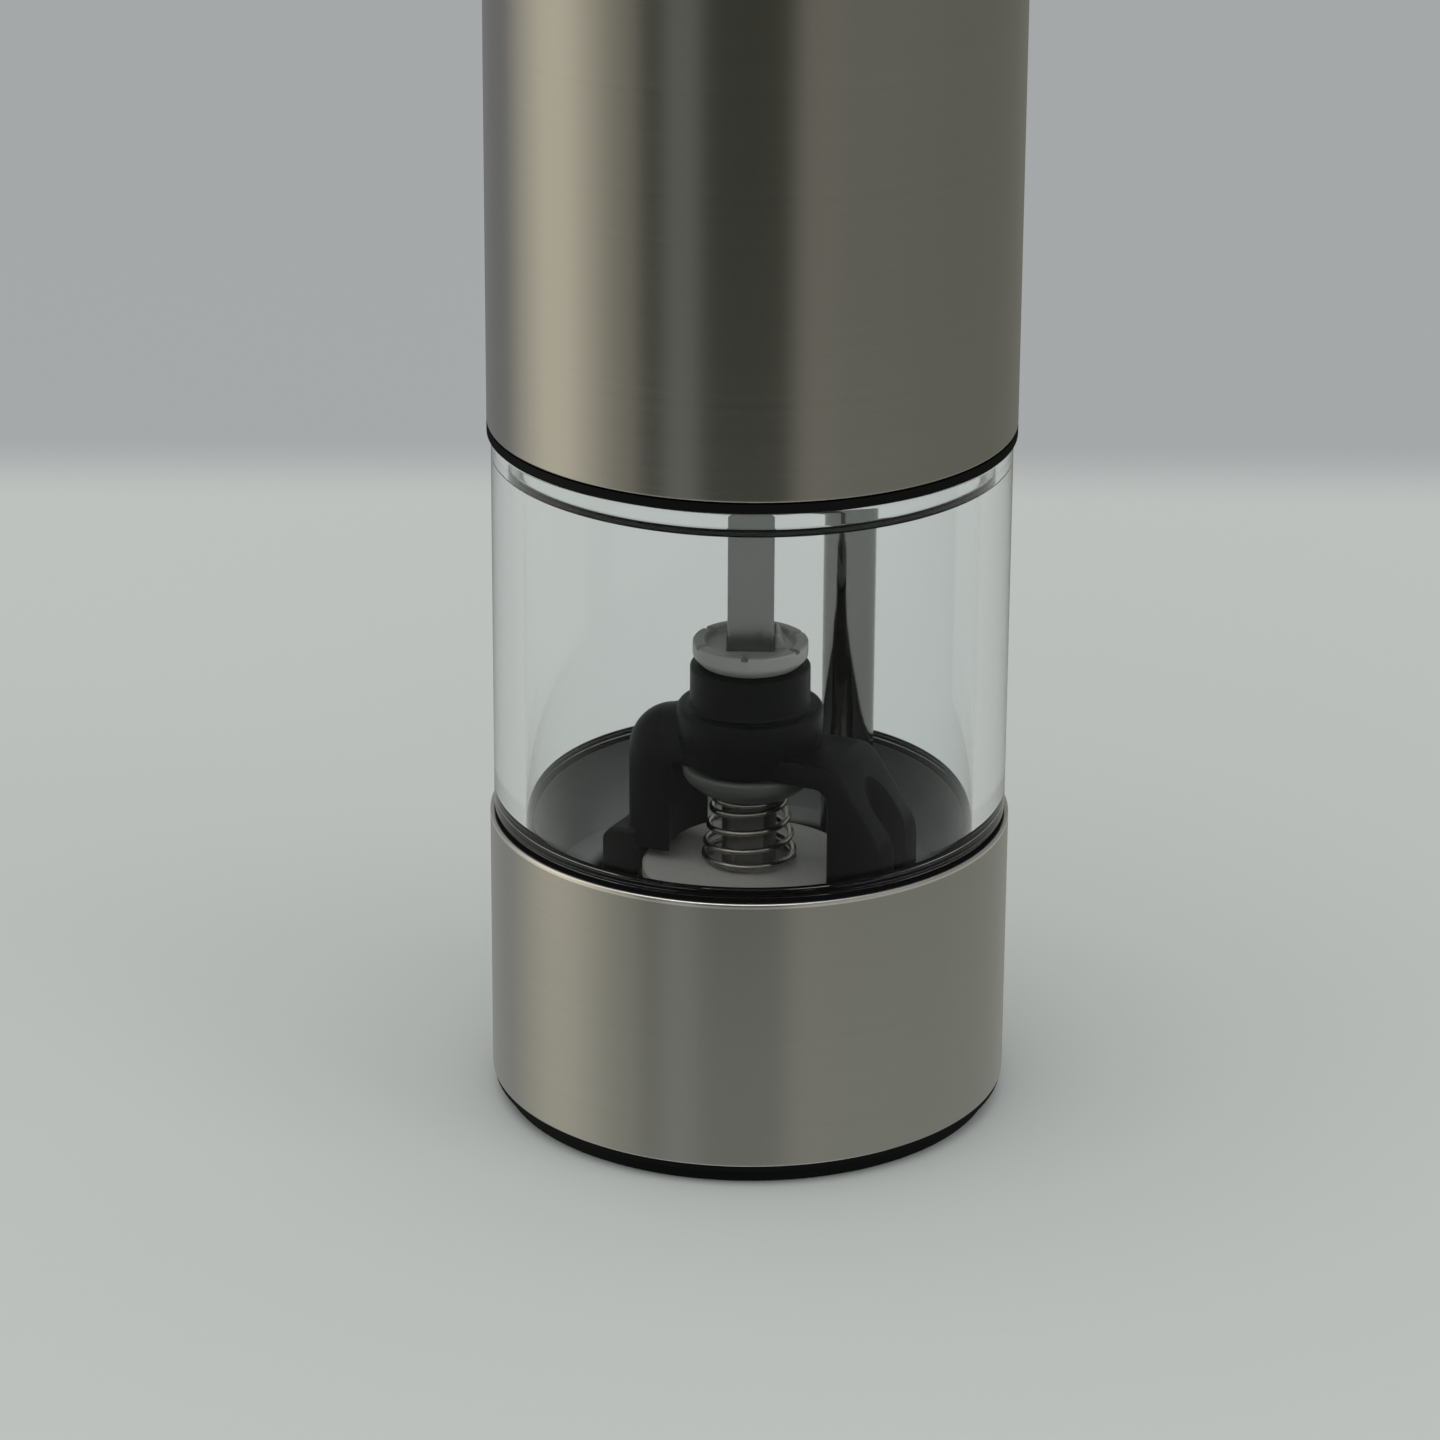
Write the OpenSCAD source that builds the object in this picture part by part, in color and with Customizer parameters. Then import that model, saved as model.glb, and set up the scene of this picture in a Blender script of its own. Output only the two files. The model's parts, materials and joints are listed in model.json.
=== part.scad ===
// Battery-driven salt and pepper mill: steel foot with ceramic burrs, clear jar, lift-off motor unit
// with a two-stage planetary gearbox, and a steel cover with a push button on top.
// Millimetres, +Z up, origin at the centre of the foot's resting face.

/* [Body] */
// Outside diameter of the steel sleeves
body_d = 51; // [50:0.5:56]
// Thickness of the steel sheet
sheet_t = 0.5; // [0.4:0.1:0.8]
// Height of the black foot
foot_h = 2; // [1.8:0.1:3]
// How far the foot stands back from the sleeve
foot_inset = 1.2; // [0.8:0.1:2]
// Height of the base sleeve
base_h = 27.4; // [26:0.2:34]
// Diameter of the outlet in the foot
outlet_d = 24; // [23.6:0.2:24.4]
// Slack of pieces that slide into each other
slip_gap = 0.1; // [0.08:0.01:0.2]
// Slack of a turning piece in its bush
run_gap = 0.05; // [0.03:0.01:0.08]
// Gap between faces that turn over each other
face_gap = 0.1; // [0.1:0.05:0.3]

/* [Hopper and jar] */
// Height of the rim that stands out above the base sleeve
rim_lip = 0.5; // [0.4:0.1:1]
// Depth of the hopper bowl
hopper_depth = 8.4; // [7:0.2:10]
// Wall of the hopper
hopper_wall = 1.5; // [1.2:0.1:2]
// Height of the clear jar above the rim
jar_h = 38.4; // [36:0.2:60]
// Wall of the jar
jar_wall = 3.1; // [2.6:0.1:3.4]
// Wall of the jar around the plug
jar_lip = 1.6; // [1.4:0.1:1.8]
// Height of the tongue that seats the jar in the rim
tongue_h = 1.2; // [0.8:0.1:1.5]
// Outside diameter of the tube for the lamp wires
tube_d = 5.5; // [4.5:0.1:5.8]
// Wall of that tube
tube_wall = 0.5; // [0.4:0.1:0.8]
// Bearing of that tube around the mill's axis
tube_angle = 54; // [45:1:65]

/* [Grinding works] */
// Outside diameter of the fixed burr
stator_d = 25.6; // [25.4:0.1:26]
// Height of the fixed burr
stator_h = 12.9; // [11:0.1:13.5]
// Thickness of the fixed burr at its throat
burr_wall = 1.85; // [1.6:0.05:2.2]
// Room that lets the turning burr's disc through the throat
disc_gap = 0.4; // [0.3:0.05:1]
// How far that disc stands above the bowl's floor
disc_rise = 2.5; // [2.2:0.1:3.5]
// Height of the turning burr
rotor_h = 15.5; // [14.5:0.1:16]
// Gap between the burrs at the finest setting
grind_gap = 0.35; // [0.25:0.05:0.5]
// Number of grooves in each burr
burr_grooves = 14; // [8:1:18]
// Diameter of the spindle
spindle_d = 5.4; // [4.8:0.1:5.6]
// Width across the spindle's two flats
spindle_flat = 4.6; // [4.2:0.1:4.7]
// Height of the space that the burr spring fills
spring_h = 7.4; // [6.6:0.1:9]
// Wire of the burr spring
spring_wire = 0.65; // [0.5:0.05:0.8]
// Curls of the burr spring
spring_curls = 4; // [3:1:5]
// Diameter of the thrust washer
washer_d = 13.2; // [12:0.1:14]
// Thickness of the thrust washer
washer_t = 2.9; // [2.4:0.1:3.2]
// Diameter of the adjusting knob
knob_d = 12; // [10:0.5:14]
// Height of the adjusting knob
knob_h = 6; // [5:0.1:6.2]

/* [Bridge and drive] */
// Bearing of the bridge's front arm around the axis
bridge_angle = -26; // [-35:1:-15]
// Width of the bridge's arms
arm_w = 9; // [8:0.2:10]
// Reach of the front foot past the burr's pocket
front_land = 3.2; // [3.1:0.1:4]
// Reach of the rear foot past the burr's pocket
rear_land = 1.4; // [1.3:0.1:3]
// How far the rear foot stands out past its arm
foot_step = 1.4; // [1.2:0.1:1.8]
// Diameter of the bridge's upper hub
hub_d = 11.8; // [11.6:0.1:13]
// Height of the upper hub
hub_h = 4.2; // [3.5:0.1:6]
// Diameter of the bridge's lower hub
hub_low_d = 14.4; // [13.6:0.1:16]
// Height of the lower hub
hub_low_h = 6.1; // [5.6:0.1:8]
// Width across the square drive shaft
shaft_w = 4.5; // [4.2:0.1:4.7]
// Depth of the shaft in its socket
shaft_grip = 6.5; // [5:0.1:7]
// Diameter of the drive socket's flange
socket_d = 11.3; // [10.6:0.1:11.6]
// Height of the drive socket's flange
socket_h = 2.3; // [1.4:0.1:2.8]

/* [Gearbox and motor] */
// Height of the black ring between jar and cover
ring_h = 1; // [0.8:0.1:2]
// Height of the bulkhead above that ring
deck_h = 3; // [2.6:0.1:5]
// Height of the clear plug in the jar's mouth
plug_h = 2.2; // [1.8:0.1:2.8]
// Gear module
gear_m = 0.6; // [0.56:0.01:0.64]
// Teeth of the sun gears
sun_teeth = 12; // [12:6:12]
// Teeth of the planet gears
planet_teeth = 18; // [18:6:18]
// Width of the gears
gear_w = 5.8; // [5:0.1:7]
// Thickness of the planet carriers
carrier_t = 3; // [2.4:0.1:4]
// Diameter of the planets' pins
planet_pin_d = 3; // [2.4:0.1:3.4]
// Diameter of the motor
motor_d = 24.4; // [23.6:0.1:27]
// Length of the motor's can
motor_h = 30.5; // [28:0.5:36]
// Diameter of the motor shaft
motor_shaft_d = 2; // [1.8:0.1:2.3]
// Wall of the housing around the motor
housing_wall = 1.8; // [1.4:0.1:2.2]

/* [Batteries and switch] */
// Diameter of a cell
cell_d = 14.2; // [13.6:0.1:14.5]
// Length of a cell with its nub
cell_h = 50; // [48:0.5:51]
// Height of the space for a cell's spring
cell_spring_h = 5.2; // [4.8:0.1:6]
// Thickness of the contact plates
contact_t = 0.4; // [0.3:0.05:0.6]
// Height of the switch
switch_h = 5; // [4:0.5:7]
// Height of the switch's plunger
plunger_h = 3; // [2.8:0.1:4]

/* [Cap and button] */
// Height of the top cap
cap_h = 7; // [6.6:0.1:9]
// Diameter of the push button
button_d = 31.6; // [26:0.2:34]
// How far the button stands out of the cap
button_rise = 3; // [2.6:0.1:4]
// Travel of the button
button_travel = 2.5; // [1.5:0.1:2.6]
// Wire of the button's spring
button_wire = 0.7; // [0.5:0.05:0.8]
// Curls of the button's spring
button_curls = 3; // [2:1:3]

/* [Hidden] */
$fn = 96;

// Small overlap that keeps cuts clean
cut = 1;
// Radii of the shells, from the outside in
body_r = body_d / 2;
sleeve_in = body_r - sheet_t;
skirt_r = sleeve_in - slip_gap / 2;
foot_r = body_r - foot_inset;
foot_flange_t = 0.6;
foot_flange_step = 0.2;
foot_flange_r = body_r - foot_flange_step;
jar_step = 0.4;
jar_r = body_r - jar_step;
jar_in = jar_r - jar_wall;
jar_mouth = jar_r - jar_lip;
rim_r = jar_r;
bowl_step = 0.7;
bowl_r = jar_in - bowl_step;
bowl_draft = 1;
bowl_floor_r = bowl_r - bowl_draft;
tongue_in_step = 0.6;
tongue_in = jar_in + tongue_in_step;
tongue_out_step = 1.2;
tongue_out = jar_r - tongue_out_step;

// Levels of the base and the jar, from the bottom up
base_top = foot_h + base_h;
rim_top = base_top + rim_lip;
jar_top = rim_top + jar_h;
floor_z = rim_top - hopper_depth;
rim_t = tongue_h + hopper_wall;

// Burrs, spindle and bridge
disc_top = floor_z + disc_rise;
stator_drop = 0.2;
stator_top = floor_z - stator_drop;
stator_z = stator_top - stator_h;
pocket_r = stator_d / 2 + slip_gap;
lip_in = outlet_d / 2 + slip_gap;
throat_r = stator_d / 2 - burr_wall;
throat_z = stator_z + stator_h / 2;
mouth_wall = 0.9;
mouth_r = stator_d / 2 - mouth_wall;
exit_wall = 1.3;
exit_r = stator_d / 2 - exit_wall;
disc_r = throat_r - disc_gap;
disc_bevel = 0.4;
disc_edge_t = 1.4;
disc_root = 3;
waist_step = 3.2;
burr_groove = 1;
burr_lean = 14;
rotor_z = disc_top - rotor_h;
spindle_r = spindle_d / 2;
spring_z = disc_top;
spring_low_r = 4.4;
spring_high_r = 3.5;
washer_z = spring_z + spring_h;
hub_z = washer_z + washer_t + face_gap;
hub_top = hub_z + hub_low_h + hub_h;
socket_z = hub_top + face_gap;
socket_top = socket_z + socket_h;
shaft_end_gap = 0.5;
socket_floor = socket_top - shaft_grip - shaft_end_gap;
hub_wall = 1.7;
stem_r = hub_d / 2 - hub_wall;
rod_grip = 3.8;
ear_w = 3;
ear_h = 1.1;
square_w = shaft_w + 2 * slip_gap;
square_h = ear_h + shaft_grip + shaft_end_gap;
ear_foot_t = 1.1;
ear_tip_t = 0.3;
knob_top = rotor_z - face_gap;
knob_z = knob_top - knob_h;
knob_flutes = 10;
flute_r = 1;
flute_out = 0.4;
rod_back = 0.6;
rod_z = knob_z + rod_back;
thread_step = 0.7;
thread_r = spindle_r - thread_step;
washer_dome = 1.6;
front_drop = 3.6;
front_top = hub_z + hub_low_h - front_drop;
bridge_gap = 0.65;
foot_in = disc_r + bridge_gap;
foot_flat = sqrt(pow(foot_in, 2) - pow(arm_w / 2, 2));
foot_rise = 2.5;
foot_top = disc_top + foot_rise;
arm_root = 1;
arm_side = arm_w / 2;
web_step = 0.7;
web_r = hub_low_d / 2 + web_step;
shoulder_drop = 0.1;
shoulder_z = hub_z - shoulder_drop;
bar_tilt = 20;
bar_step = 0.2;
bar_in = 1;
front_reach = pocket_r + front_land;
rear_reach = pocket_r + rear_land - foot_step;
shoulder_at = rear_reach - arm_side;
front_flat = 3.2;
front_wall = 8.1;
arch_cut = 0.9;
foot_bevel = 1.1;
bridge_screw_r = 1;
bridge_screw_h = 7;
bridge_screw_edge = 0.5;
bridge_screw_at = front_reach - bridge_screw_r - bridge_screw_edge;
bridge_screw_seat = 2.4;
bridge_screw_z = floor_z + bridge_screw_seat;
bridge_peg_r = 0.45;
bridge_peg_h = 1;
bridge_peg_edge = 0.3;
bridge_peg_at = pocket_r + bridge_peg_r + bridge_peg_edge;

// Lamp and its wires
tube_r = tube_d / 2;
tube_edge = 0.25;
tube_at = bowl_floor_r - tube_r - tube_edge;
tube_bore = tube_r - tube_wall;
wire_r = 0.5;
wire_pitch = 1.2;
wire_slack = 0.2;
wire_hole = wire_pitch / 2 + wire_r + wire_slack;
wire_shift = 0.7;
wire_bend_drop = 2;
wire_bend_z = floor_z - hopper_wall - wire_bend_drop;
lamp_at = (pocket_r + skirt_r) / 2;
boss_wall = 0.8;
window_r = 1.9;
boss_r = window_r + slip_gap + boss_wall;
window_ledge = 0.4;
lamp_r = 1.5;
lamp_h = 3;
board_t = 1;
lamp_gap = 0.5;
board_z = foot_h + lamp_h + lamp_gap;
contact_h = 2;
contact_gap = 0.8;
contact_slot = 0.4;
contact_top = jar_top - contact_gap;
tube_top = contact_top - contact_h;
pin_r = 0.6;
plug_wall = 0.6;
plug_r = jar_mouth - 2 * slip_gap;
plug_in = plug_r - plug_wall;
plug_z = jar_top - plug_h;
seal_w = 0.45;
seal_h = 0.4;
seal_r = jar_mouth - slip_gap;
seal_z = plug_z - seal_h;
post_r = 2.3;
post_at = lamp_at;
screw_r = 1;
screw_head_r = 2;
screw_head_h = 1.2;
screw_sink = 0.2;
screw_socket = 0.55;
screw_len = 9;
screw_end_gap = 1;

// Levels of the motor unit
unit_z = jar_top + face_gap;
ring_top = jar_top + ring_h;
deck_top = ring_top + deck_h;
deck_r = sleeve_in - 1.5 * slip_gap;
gear_floor_t = 1.5;
axial_gap = 0.3;
carrier2_z = deck_top + gear_floor_t + axial_gap;
planet2_z = carrier2_z + carrier_t + axial_gap;
carrier1_z = planet2_z + gear_w + axial_gap;
planet1_z = carrier1_z + carrier_t + axial_gap;
head_room = 2;
plate_z = planet1_z + gear_w + head_room;
plate_t = 2.4;
motor_z = plate_z + plate_t;
cap_t = 3;
motor_top = motor_z + motor_h + cap_t;
housing_floor_t = 2;
motor_room = 5;
housing_top = motor_top + motor_room + housing_floor_t;
housing_gap = 1;
housing_r = sleeve_in - housing_gap;
housing_in = housing_r - housing_wall;

// Gears: the ring's teeth follow from the sun and the planets
ring_teeth = sun_teeth + 2 * planet_teeth;
sun_pitch_r = gear_m * sun_teeth / 2;
planet_pitch_r = gear_m * planet_teeth / 2;
ring_pitch_r = gear_m * ring_teeth / 2;
orbit_r = sun_pitch_r + planet_pitch_r;
addendum = 0.8 * gear_m;
dedendum = 1.1 * gear_m;
tooth_share = 0.36;
tooth_w = tooth_share * PI * gear_m;
pressure_angle = 20;
flank = tan(pressure_angle);
gearbox_in = ring_pitch_r + dedendum + axial_gap;
gearbox_r = housing_in - housing_gap;
gearbox_screw_at = (gearbox_in + gearbox_r) / 2;
gearbox_screw_end = 0.6;
gearbox_screw_bite = deck_h - gearbox_screw_end;
pin_wall = 1.5;
carrier_r = orbit_r + planet_pin_d / 2 + pin_wall;
planet_count = 3;
journal_r = shaft_w / 2 - run_gap;
bush_wall = 2.3;
bush_r = journal_r + bush_wall;
press_gap = 0.02;
shaft_top = planet2_z - axial_gap;
shaft_z = socket_top - shaft_grip;

// Motor
motor_r = motor_d / 2;
can_t = 0.8;
motor_boss_r = 4;
motor_boss_h = 1.4;
motor_shaft_r = motor_shaft_d / 2;
magnet_t = 2;
air_gap = 0.7;
core_r = motor_r - can_t - magnet_t - air_gap;
core_ends = 13.5;
core_h = motor_h - core_ends;
magnet_over = 1;
magnet_h = core_h + 2 * magnet_over;
magnet_w = 0.75 * motor_d;
core_lift = 5;
core_z = motor_z + core_lift;
core_slot = 1.2;
core_slot_in = 0.45 * core_r;
shaft_tail = 0.6;
commutator_r = 3;
commutator_h = 4;
commutator_gap = 1;
motor_screw_at = 8;
motor_face_t = 2;
terminal_at = 0.6 * motor_r;
terminal_t = 0.5;
terminal_w = 3;
terminal_h = 2.2;

// Batteries, switch, cap and button
holder_t = 2.5;
spine_t = 1.2;
cell_gap = 0.2;
cell_at = cell_d / 2 + spine_t / 2 + cell_gap;
spine_over = 1.15;
plate_share = 0.75;
holder_z = housing_top;
cell_floor = holder_z + holder_t + contact_t;
cell_space = cell_h + cell_spring_h;
holder_top = cell_floor + cell_space + contact_t + holder_t;
nub_r = 2.6;
nub_h = 1.2;
cell_wire = 0.7;
cell_curls = 3;
cell_spring_low_r = 4.8;
cell_spring_high_r = 3.6;
switch_board_r = 12;
switch_board_t = 1.2;
switch_hole_edge = 2;
switch_z = holder_top + switch_board_t;
switch_w = 12;
plunger_r = 3;
plunger_in = 1.2;
plunger_top = switch_z + switch_h + plunger_h;
stem_gap = 0.2;
stem_z = plunger_top + stem_gap;
clip_t = 1;
clip_bite = 0.5;
clip_room = 2.7;
cap_z = stem_z + clip_t + clip_room;
cap_floor_t = 2;
cap_top = cap_z + cap_h;
cap_round = 2;
cap_skirt_h = 6;
cap_wall = 1.6;
button_r = button_d / 2;
button_wall = 1.6;
button_top = cap_top + button_rise;
button_crown = 1.2;
button_under = button_top - button_crown - button_wall;
button_skirt_z = cap_z + cap_floor_t + button_travel + axial_gap;
button_edge = 1;
button_stem_r = 4;
button_spring_r = 6.2;

// A point at a radius and an angle
function polar(r, a) = [r * cos(a), r * sin(a)];

// Points of an arc from angle a0 to a1
function arc(cx, cy, r, a0, a1, steps = 10) =
  [for (i = [0:steps]) [cx, cy] + polar(r, a0 + (a1 - a0) * i / steps)];

// Angle in degrees that an arc length covers at a radius
function spread(length, r) = length / r * 180 / PI;

// Outline of a gear with straight-sided teeth; a root outside the tip gives the hole of a ring gear
function gear_outline(teeth, root_r, tip_r, root_w, tip_w) = [
  for (i = [0:teeth - 1], corner = [[root_r, -root_w], [tip_r, -tip_w], [tip_r, tip_w], [root_r, root_w]])
    polar(corner[0], 360 * i / teeth + spread(corner[1] / 2, corner[0]))
];

// Height and radius along a spring, as a share s of its wound length
function coil_point(r0, r1, z0, z1, curls, s) =
  let (r = r0 + (r1 - r0) * s)
  concat(polar(r, 360 * curls * s), z0 + (z1 - z0) * s);

// Centre line of a spring between two faces, with straight ends one wire thick, square to the faces
function coil_path(r0, r1, z0, z1, curls, wire) =
  let (rings = 8 * curls)
  concat(
    [[r0, 0, z0]],
    [for (i = [0:rings]) coil_point(r0, r1, z0 + wire, z1 - wire, curls, i / rings)],
    [concat(polar(r1, 360 * curls), z1)]
  );

// Six-sided tube along a spring's centre line
module coil(path, wire, sides = 6) {
  last = len(path) - 1;
  rings = [
    for (i = [0:last])
      let (
        ahead = path[min(i + 1, last)] - path[max(i - 1, 0)],
        along = ahead / norm(ahead),
        out = [path[i][0], path[i][1], 0] / norm([path[i][0], path[i][1]]),
        side = cross(along, out)
      )
      for (k = [0:sides - 1])
        path[i] + wire / 2 * (cos(360 * k / sides) * out + sin(360 * k / sides) * side / norm(side))
  ];
  walls = [
    for (i = [0:last - 1], k = [0:sides - 1])
      let (
        a = i * sides + k,
        b = i * sides + (k + 1) % sides
      )
      each [[a, a + sides, b], [b, a + sides, b + sides]]
  ];
  caps = [
    for (k = [1:sides - 2])
      each [[0, k, k + 1], [last * sides, last * sides + k + 1, last * sides + k]]
  ];
  polyhedron(points = rings, faces = concat(walls, caps));
}

// Least gap between neighbouring curls, measured on the centre line's points
function coil_gap(path, wire, apart = 6) =
  min([for (i = [0:len(path) - 1 - apart], j = [i + apart:len(path) - 1]) norm(path[i] - path[j])]) - wire;

burr_spring_path = coil_path(spring_low_r, spring_high_r, spring_z, washer_z, spring_curls, spring_wire);
cell_spring_path = coil_path(cell_spring_low_r, cell_spring_high_r, 0, cell_spring_h, cell_curls, cell_wire);
button_spring_path =
  coil_path(button_spring_r, button_spring_r, cap_z + cap_floor_t, button_under, button_curls, button_wire);
echo(burr_spring_gap = coil_gap(burr_spring_path, spring_wire));
echo(cell_spring_gap = coil_gap(cell_spring_path, cell_wire));
echo(button_spring_gap = coil_gap(button_spring_path, button_wire));

// Places at the foot screws, between the lamp and the sleeve
module at_foot_screws() {
  for (turn = [60, 180, 300])
    rotate([0, 0, tube_angle + turn])
      translate([post_at, 0, 0])
        children();
}

// Place of the tube
module at_tube() {
  rotate([0, 0, tube_angle])
    translate([tube_at, 0, 0])
      children();
}

// Place of the lamp, outward of the tube
module at_lamp() {
  rotate([0, 0, tube_angle])
    translate([lamp_at, 0, 0])
      children();
}

// A screw with its head down, shank up
module screw(r, length, head_r, head_h) {
  translate([0, 0, -head_h])
    difference() {
      cylinder(h = head_h, r = head_r);
      translate([0, 0, -cut])
        cylinder(h = cut + head_h / 2, r = head_r * screw_socket, $fn = 6);
    }
  cylinder(h = length, r = r);
}

// Black foot: flange under the sleeve, outlet, lamp boss
module base_foot() {
  color("#1c1c1c")
    difference() {
      union() {
        cylinder(h = foot_h, r = foot_r);
        translate([0, 0, foot_h - foot_flange_t])
          cylinder(h = foot_flange_t, r = foot_flange_r);
        at_lamp()
          cylinder(h = board_z, r = boss_r);
      }
      translate([0, 0, -cut])
        cylinder(h = foot_h + 2 * cut, r = outlet_d / 2);
      at_lamp() {
        translate([0, 0, -cut])
          cylinder(h = board_z, r = window_r - window_ledge);
        translate([0, 0, window_ledge])
          cylinder(h = board_z, r = window_r + slip_gap / 2);
      }
      at_foot_screws() {
        translate([0, 0, -cut])
          cylinder(h = screw_head_h + screw_sink + cut, r = screw_head_r + slip_gap);
        cylinder(h = foot_h + cut, r = screw_r + slip_gap);
      }
    }
}

// Brushed steel sleeve of the base, with a rounded upper edge
module base_sleeve() {
  color("#9a958a")
    rotate_extrude()
      polygon(concat(
        [[sleeve_in, foot_h], [body_r, foot_h]],
        arc(body_r - sheet_t, base_top - sheet_t, sheet_t, 0, 90, 6)
      ));
}

// Black hopper: skirt, rim with the jar's groove, bowl, pocket of the fixed burr
module hopper() {
  pocket_out = pocket_r + hopper_wall;
  color("#262626")
    difference() {
      union() {
        rotate_extrude()
          polygon([
            [skirt_r, foot_h], [skirt_r, base_top], [rim_r, base_top], [rim_r, rim_top],
            [tongue_out + slip_gap, rim_top], [tongue_out + slip_gap, rim_top - tongue_h - slip_gap],
            [tongue_in - slip_gap, rim_top - tongue_h - slip_gap], [tongue_in - slip_gap, rim_top],
            [bowl_r, rim_top], [bowl_floor_r, floor_z], [pocket_r, floor_z], [pocket_r, stator_z],
            [lip_in, stator_z], [lip_in, foot_h], [pocket_out, foot_h], [pocket_out, floor_z - hopper_wall],
            [bowl_floor_r + hopper_wall, floor_z - hopper_wall], [bowl_r + hopper_wall, rim_top - rim_t],
            [skirt_r - hopper_wall, rim_top - rim_t], [skirt_r - hopper_wall, foot_h]
          ]);
        at_foot_screws()
          translate([0, 0, foot_h])
            cylinder(h = floor_z - hopper_wall / 2 - foot_h, r = post_r);
        difference() {
          at_bridge_screw()
            translate([0, 0, floor_z - bridge_screw_h - hopper_wall])
              cylinder(h = bridge_screw_h + hopper_wall / 2, r = bridge_screw_r + hopper_wall);
          cylinder(h = floor_z, r = pocket_r + hopper_wall / 2);
        }
      }
      at_foot_screws()
        translate([0, 0, foot_h - cut])
          cylinder(h = screw_len + cut, r = screw_r + slip_gap);
      at_tube()
        translate([wire_shift, 0, floor_z - hopper_wall - cut])
          cylinder(h = hopper_wall + 2 * cut, r = wire_hole);
      at_bridge_screw()
        translate([0, 0, floor_z - bridge_screw_h])
          cylinder(h = bridge_screw_h + cut, r = bridge_screw_r + slip_gap);
      at_bridge_peg()
        translate([0, 0, floor_z - bridge_peg_h - slip_gap])
          cylinder(h = bridge_peg_h + cut, r = bridge_peg_r + slip_gap);
    }
}

// Screws from the foot into the hopper's posts
module foot_screws() {
  color("#b8b8b8")
    at_foot_screws()
      translate([0, 0, screw_head_h + screw_sink])
        screw(screw_r, screw_len - screw_end_gap, screw_head_r, screw_head_h);
}

// Clear jar with the tongue that seats it in the rim and the recess that takes the plug
module jar() {
  color("#e8eeee", 0.35)
    rotate_extrude()
      polygon([
        [jar_in, rim_top], [tongue_in, rim_top], [tongue_in, rim_top - tongue_h],
        [tongue_out, rim_top - tongue_h], [tongue_out, rim_top], [jar_r, rim_top],
        [jar_r, jar_top], [jar_mouth, jar_top], [jar_mouth, seal_z - slip_gap], [jar_in, seal_z - slip_gap]
      ]);
}

// Grooves around a burr, each leaning a little
module burr_cuts(r, z0, h) {
  for (i = [0:burr_grooves - 1])
    rotate([0, 0, 360 * i / burr_grooves])
      translate([r, 0, z0])
        rotate([burr_lean, 0, 45])
          cube([burr_groove, burr_groove, h], center = true);
}

// Fixed ceramic burr: wide mouth, throat, widening exit
module stator_burr() {
  color("#ded9cc")
    difference() {
      rotate_extrude()
        polygon([
          [mouth_r, stator_top], [throat_r, throat_z], [exit_r, stator_z],
          [stator_d / 2, stator_z], [stator_d / 2, stator_top]
        ]);
      burr_cuts(throat_r + stator_drop, throat_z - stator_h / 4, stator_h / 3);
    }
}

// Turning ceramic burr: disc on top, waist, grinding cone
module rotor_burr() {
  waist_r = throat_r - waist_step;
  color("#cfcabd")
    difference() {
      rotate_extrude()
        polygon([
          [0, rotor_z], [exit_r - grind_gap, rotor_z], [throat_r - grind_gap, throat_z],
          [waist_r, throat_z + stator_h / 4], [waist_r, disc_top - disc_root],
          [disc_r, disc_top - disc_edge_t], [disc_r, disc_top - disc_bevel],
          [disc_r - disc_bevel, disc_top], [0, disc_top]
        ]);
      burr_cuts(throat_r, throat_z - stator_h / 4, stator_h / 3);
      translate([0, 0, rotor_z - cut])
        spindle_section(rotor_h + 2 * cut, run_gap);
    }
}

// Spindle's round section with two flats, grown by a slack
module spindle_section(h, slack) {
  intersection() {
    cylinder(h = h, r = spindle_r + slack);
    translate([-spindle_d, -spindle_flat / 2 - slack, 0])
      cube([2 * spindle_d, spindle_flat + 2 * slack, h]);
  }
}

// Steel spindle with its threaded lower end
module spindle_rod() {
  color("#6e6e6e")
    union() {
      translate([0, 0, rod_z])
        cylinder(h = rotor_z - rod_z, r = thread_r);
      translate([0, 0, rotor_z])
        spindle_section(washer_z + washer_t + rod_grip - rotor_z, 0);
    }
}

// Grey washer that carries the spring's push into the hub
module thrust_washer() {
  color("#8d8d88")
    translate([0, 0, washer_z])
      difference() {
        rotate_extrude()
          polygon([
            [0, 0], [washer_d / 2 - washer_dome, 0], [washer_d / 2, washer_dome], [washer_d / 2, washer_t],
            [0, washer_t]
          ]);
        translate([0, 0, -cut])
          spindle_section(washer_t + 2 * cut, run_gap);
      }
}

// Conical spring that holds the turning burr down on its knob
module burr_spring() {
  color("#a0a0a0")
    coil(burr_spring_path, spring_wire);
}

// Translucent socket that takes the square shaft, with a guide ear beside it
module drive_socket() {
  color("#d8d6cc", 0.8)
    difference() {
      union() {
        translate([0, 0, washer_z + washer_t])
          cylinder(h = socket_z - washer_z - washer_t, r = stem_r);
        translate([0, 0, socket_z])
          cylinder(h = socket_h, d = socket_d);
        translate([shaft_w / 2 + slip_gap, -ear_w / 2, socket_top])
          rotate([-90, 0, 0])
            linear_extrude(ear_w)
              polygon([[0, 0], [ear_foot_t, 0], [ear_tip_t, -ear_h], [0, -ear_h]]);
      }
      translate([0, 0, socket_floor + square_h / 2])
        cube([square_w, square_w, square_h], center = true);
      translate([0, 0, washer_z + washer_t - cut])
        spindle_section(rod_grip + cut, run_gap);
    }
}

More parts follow.
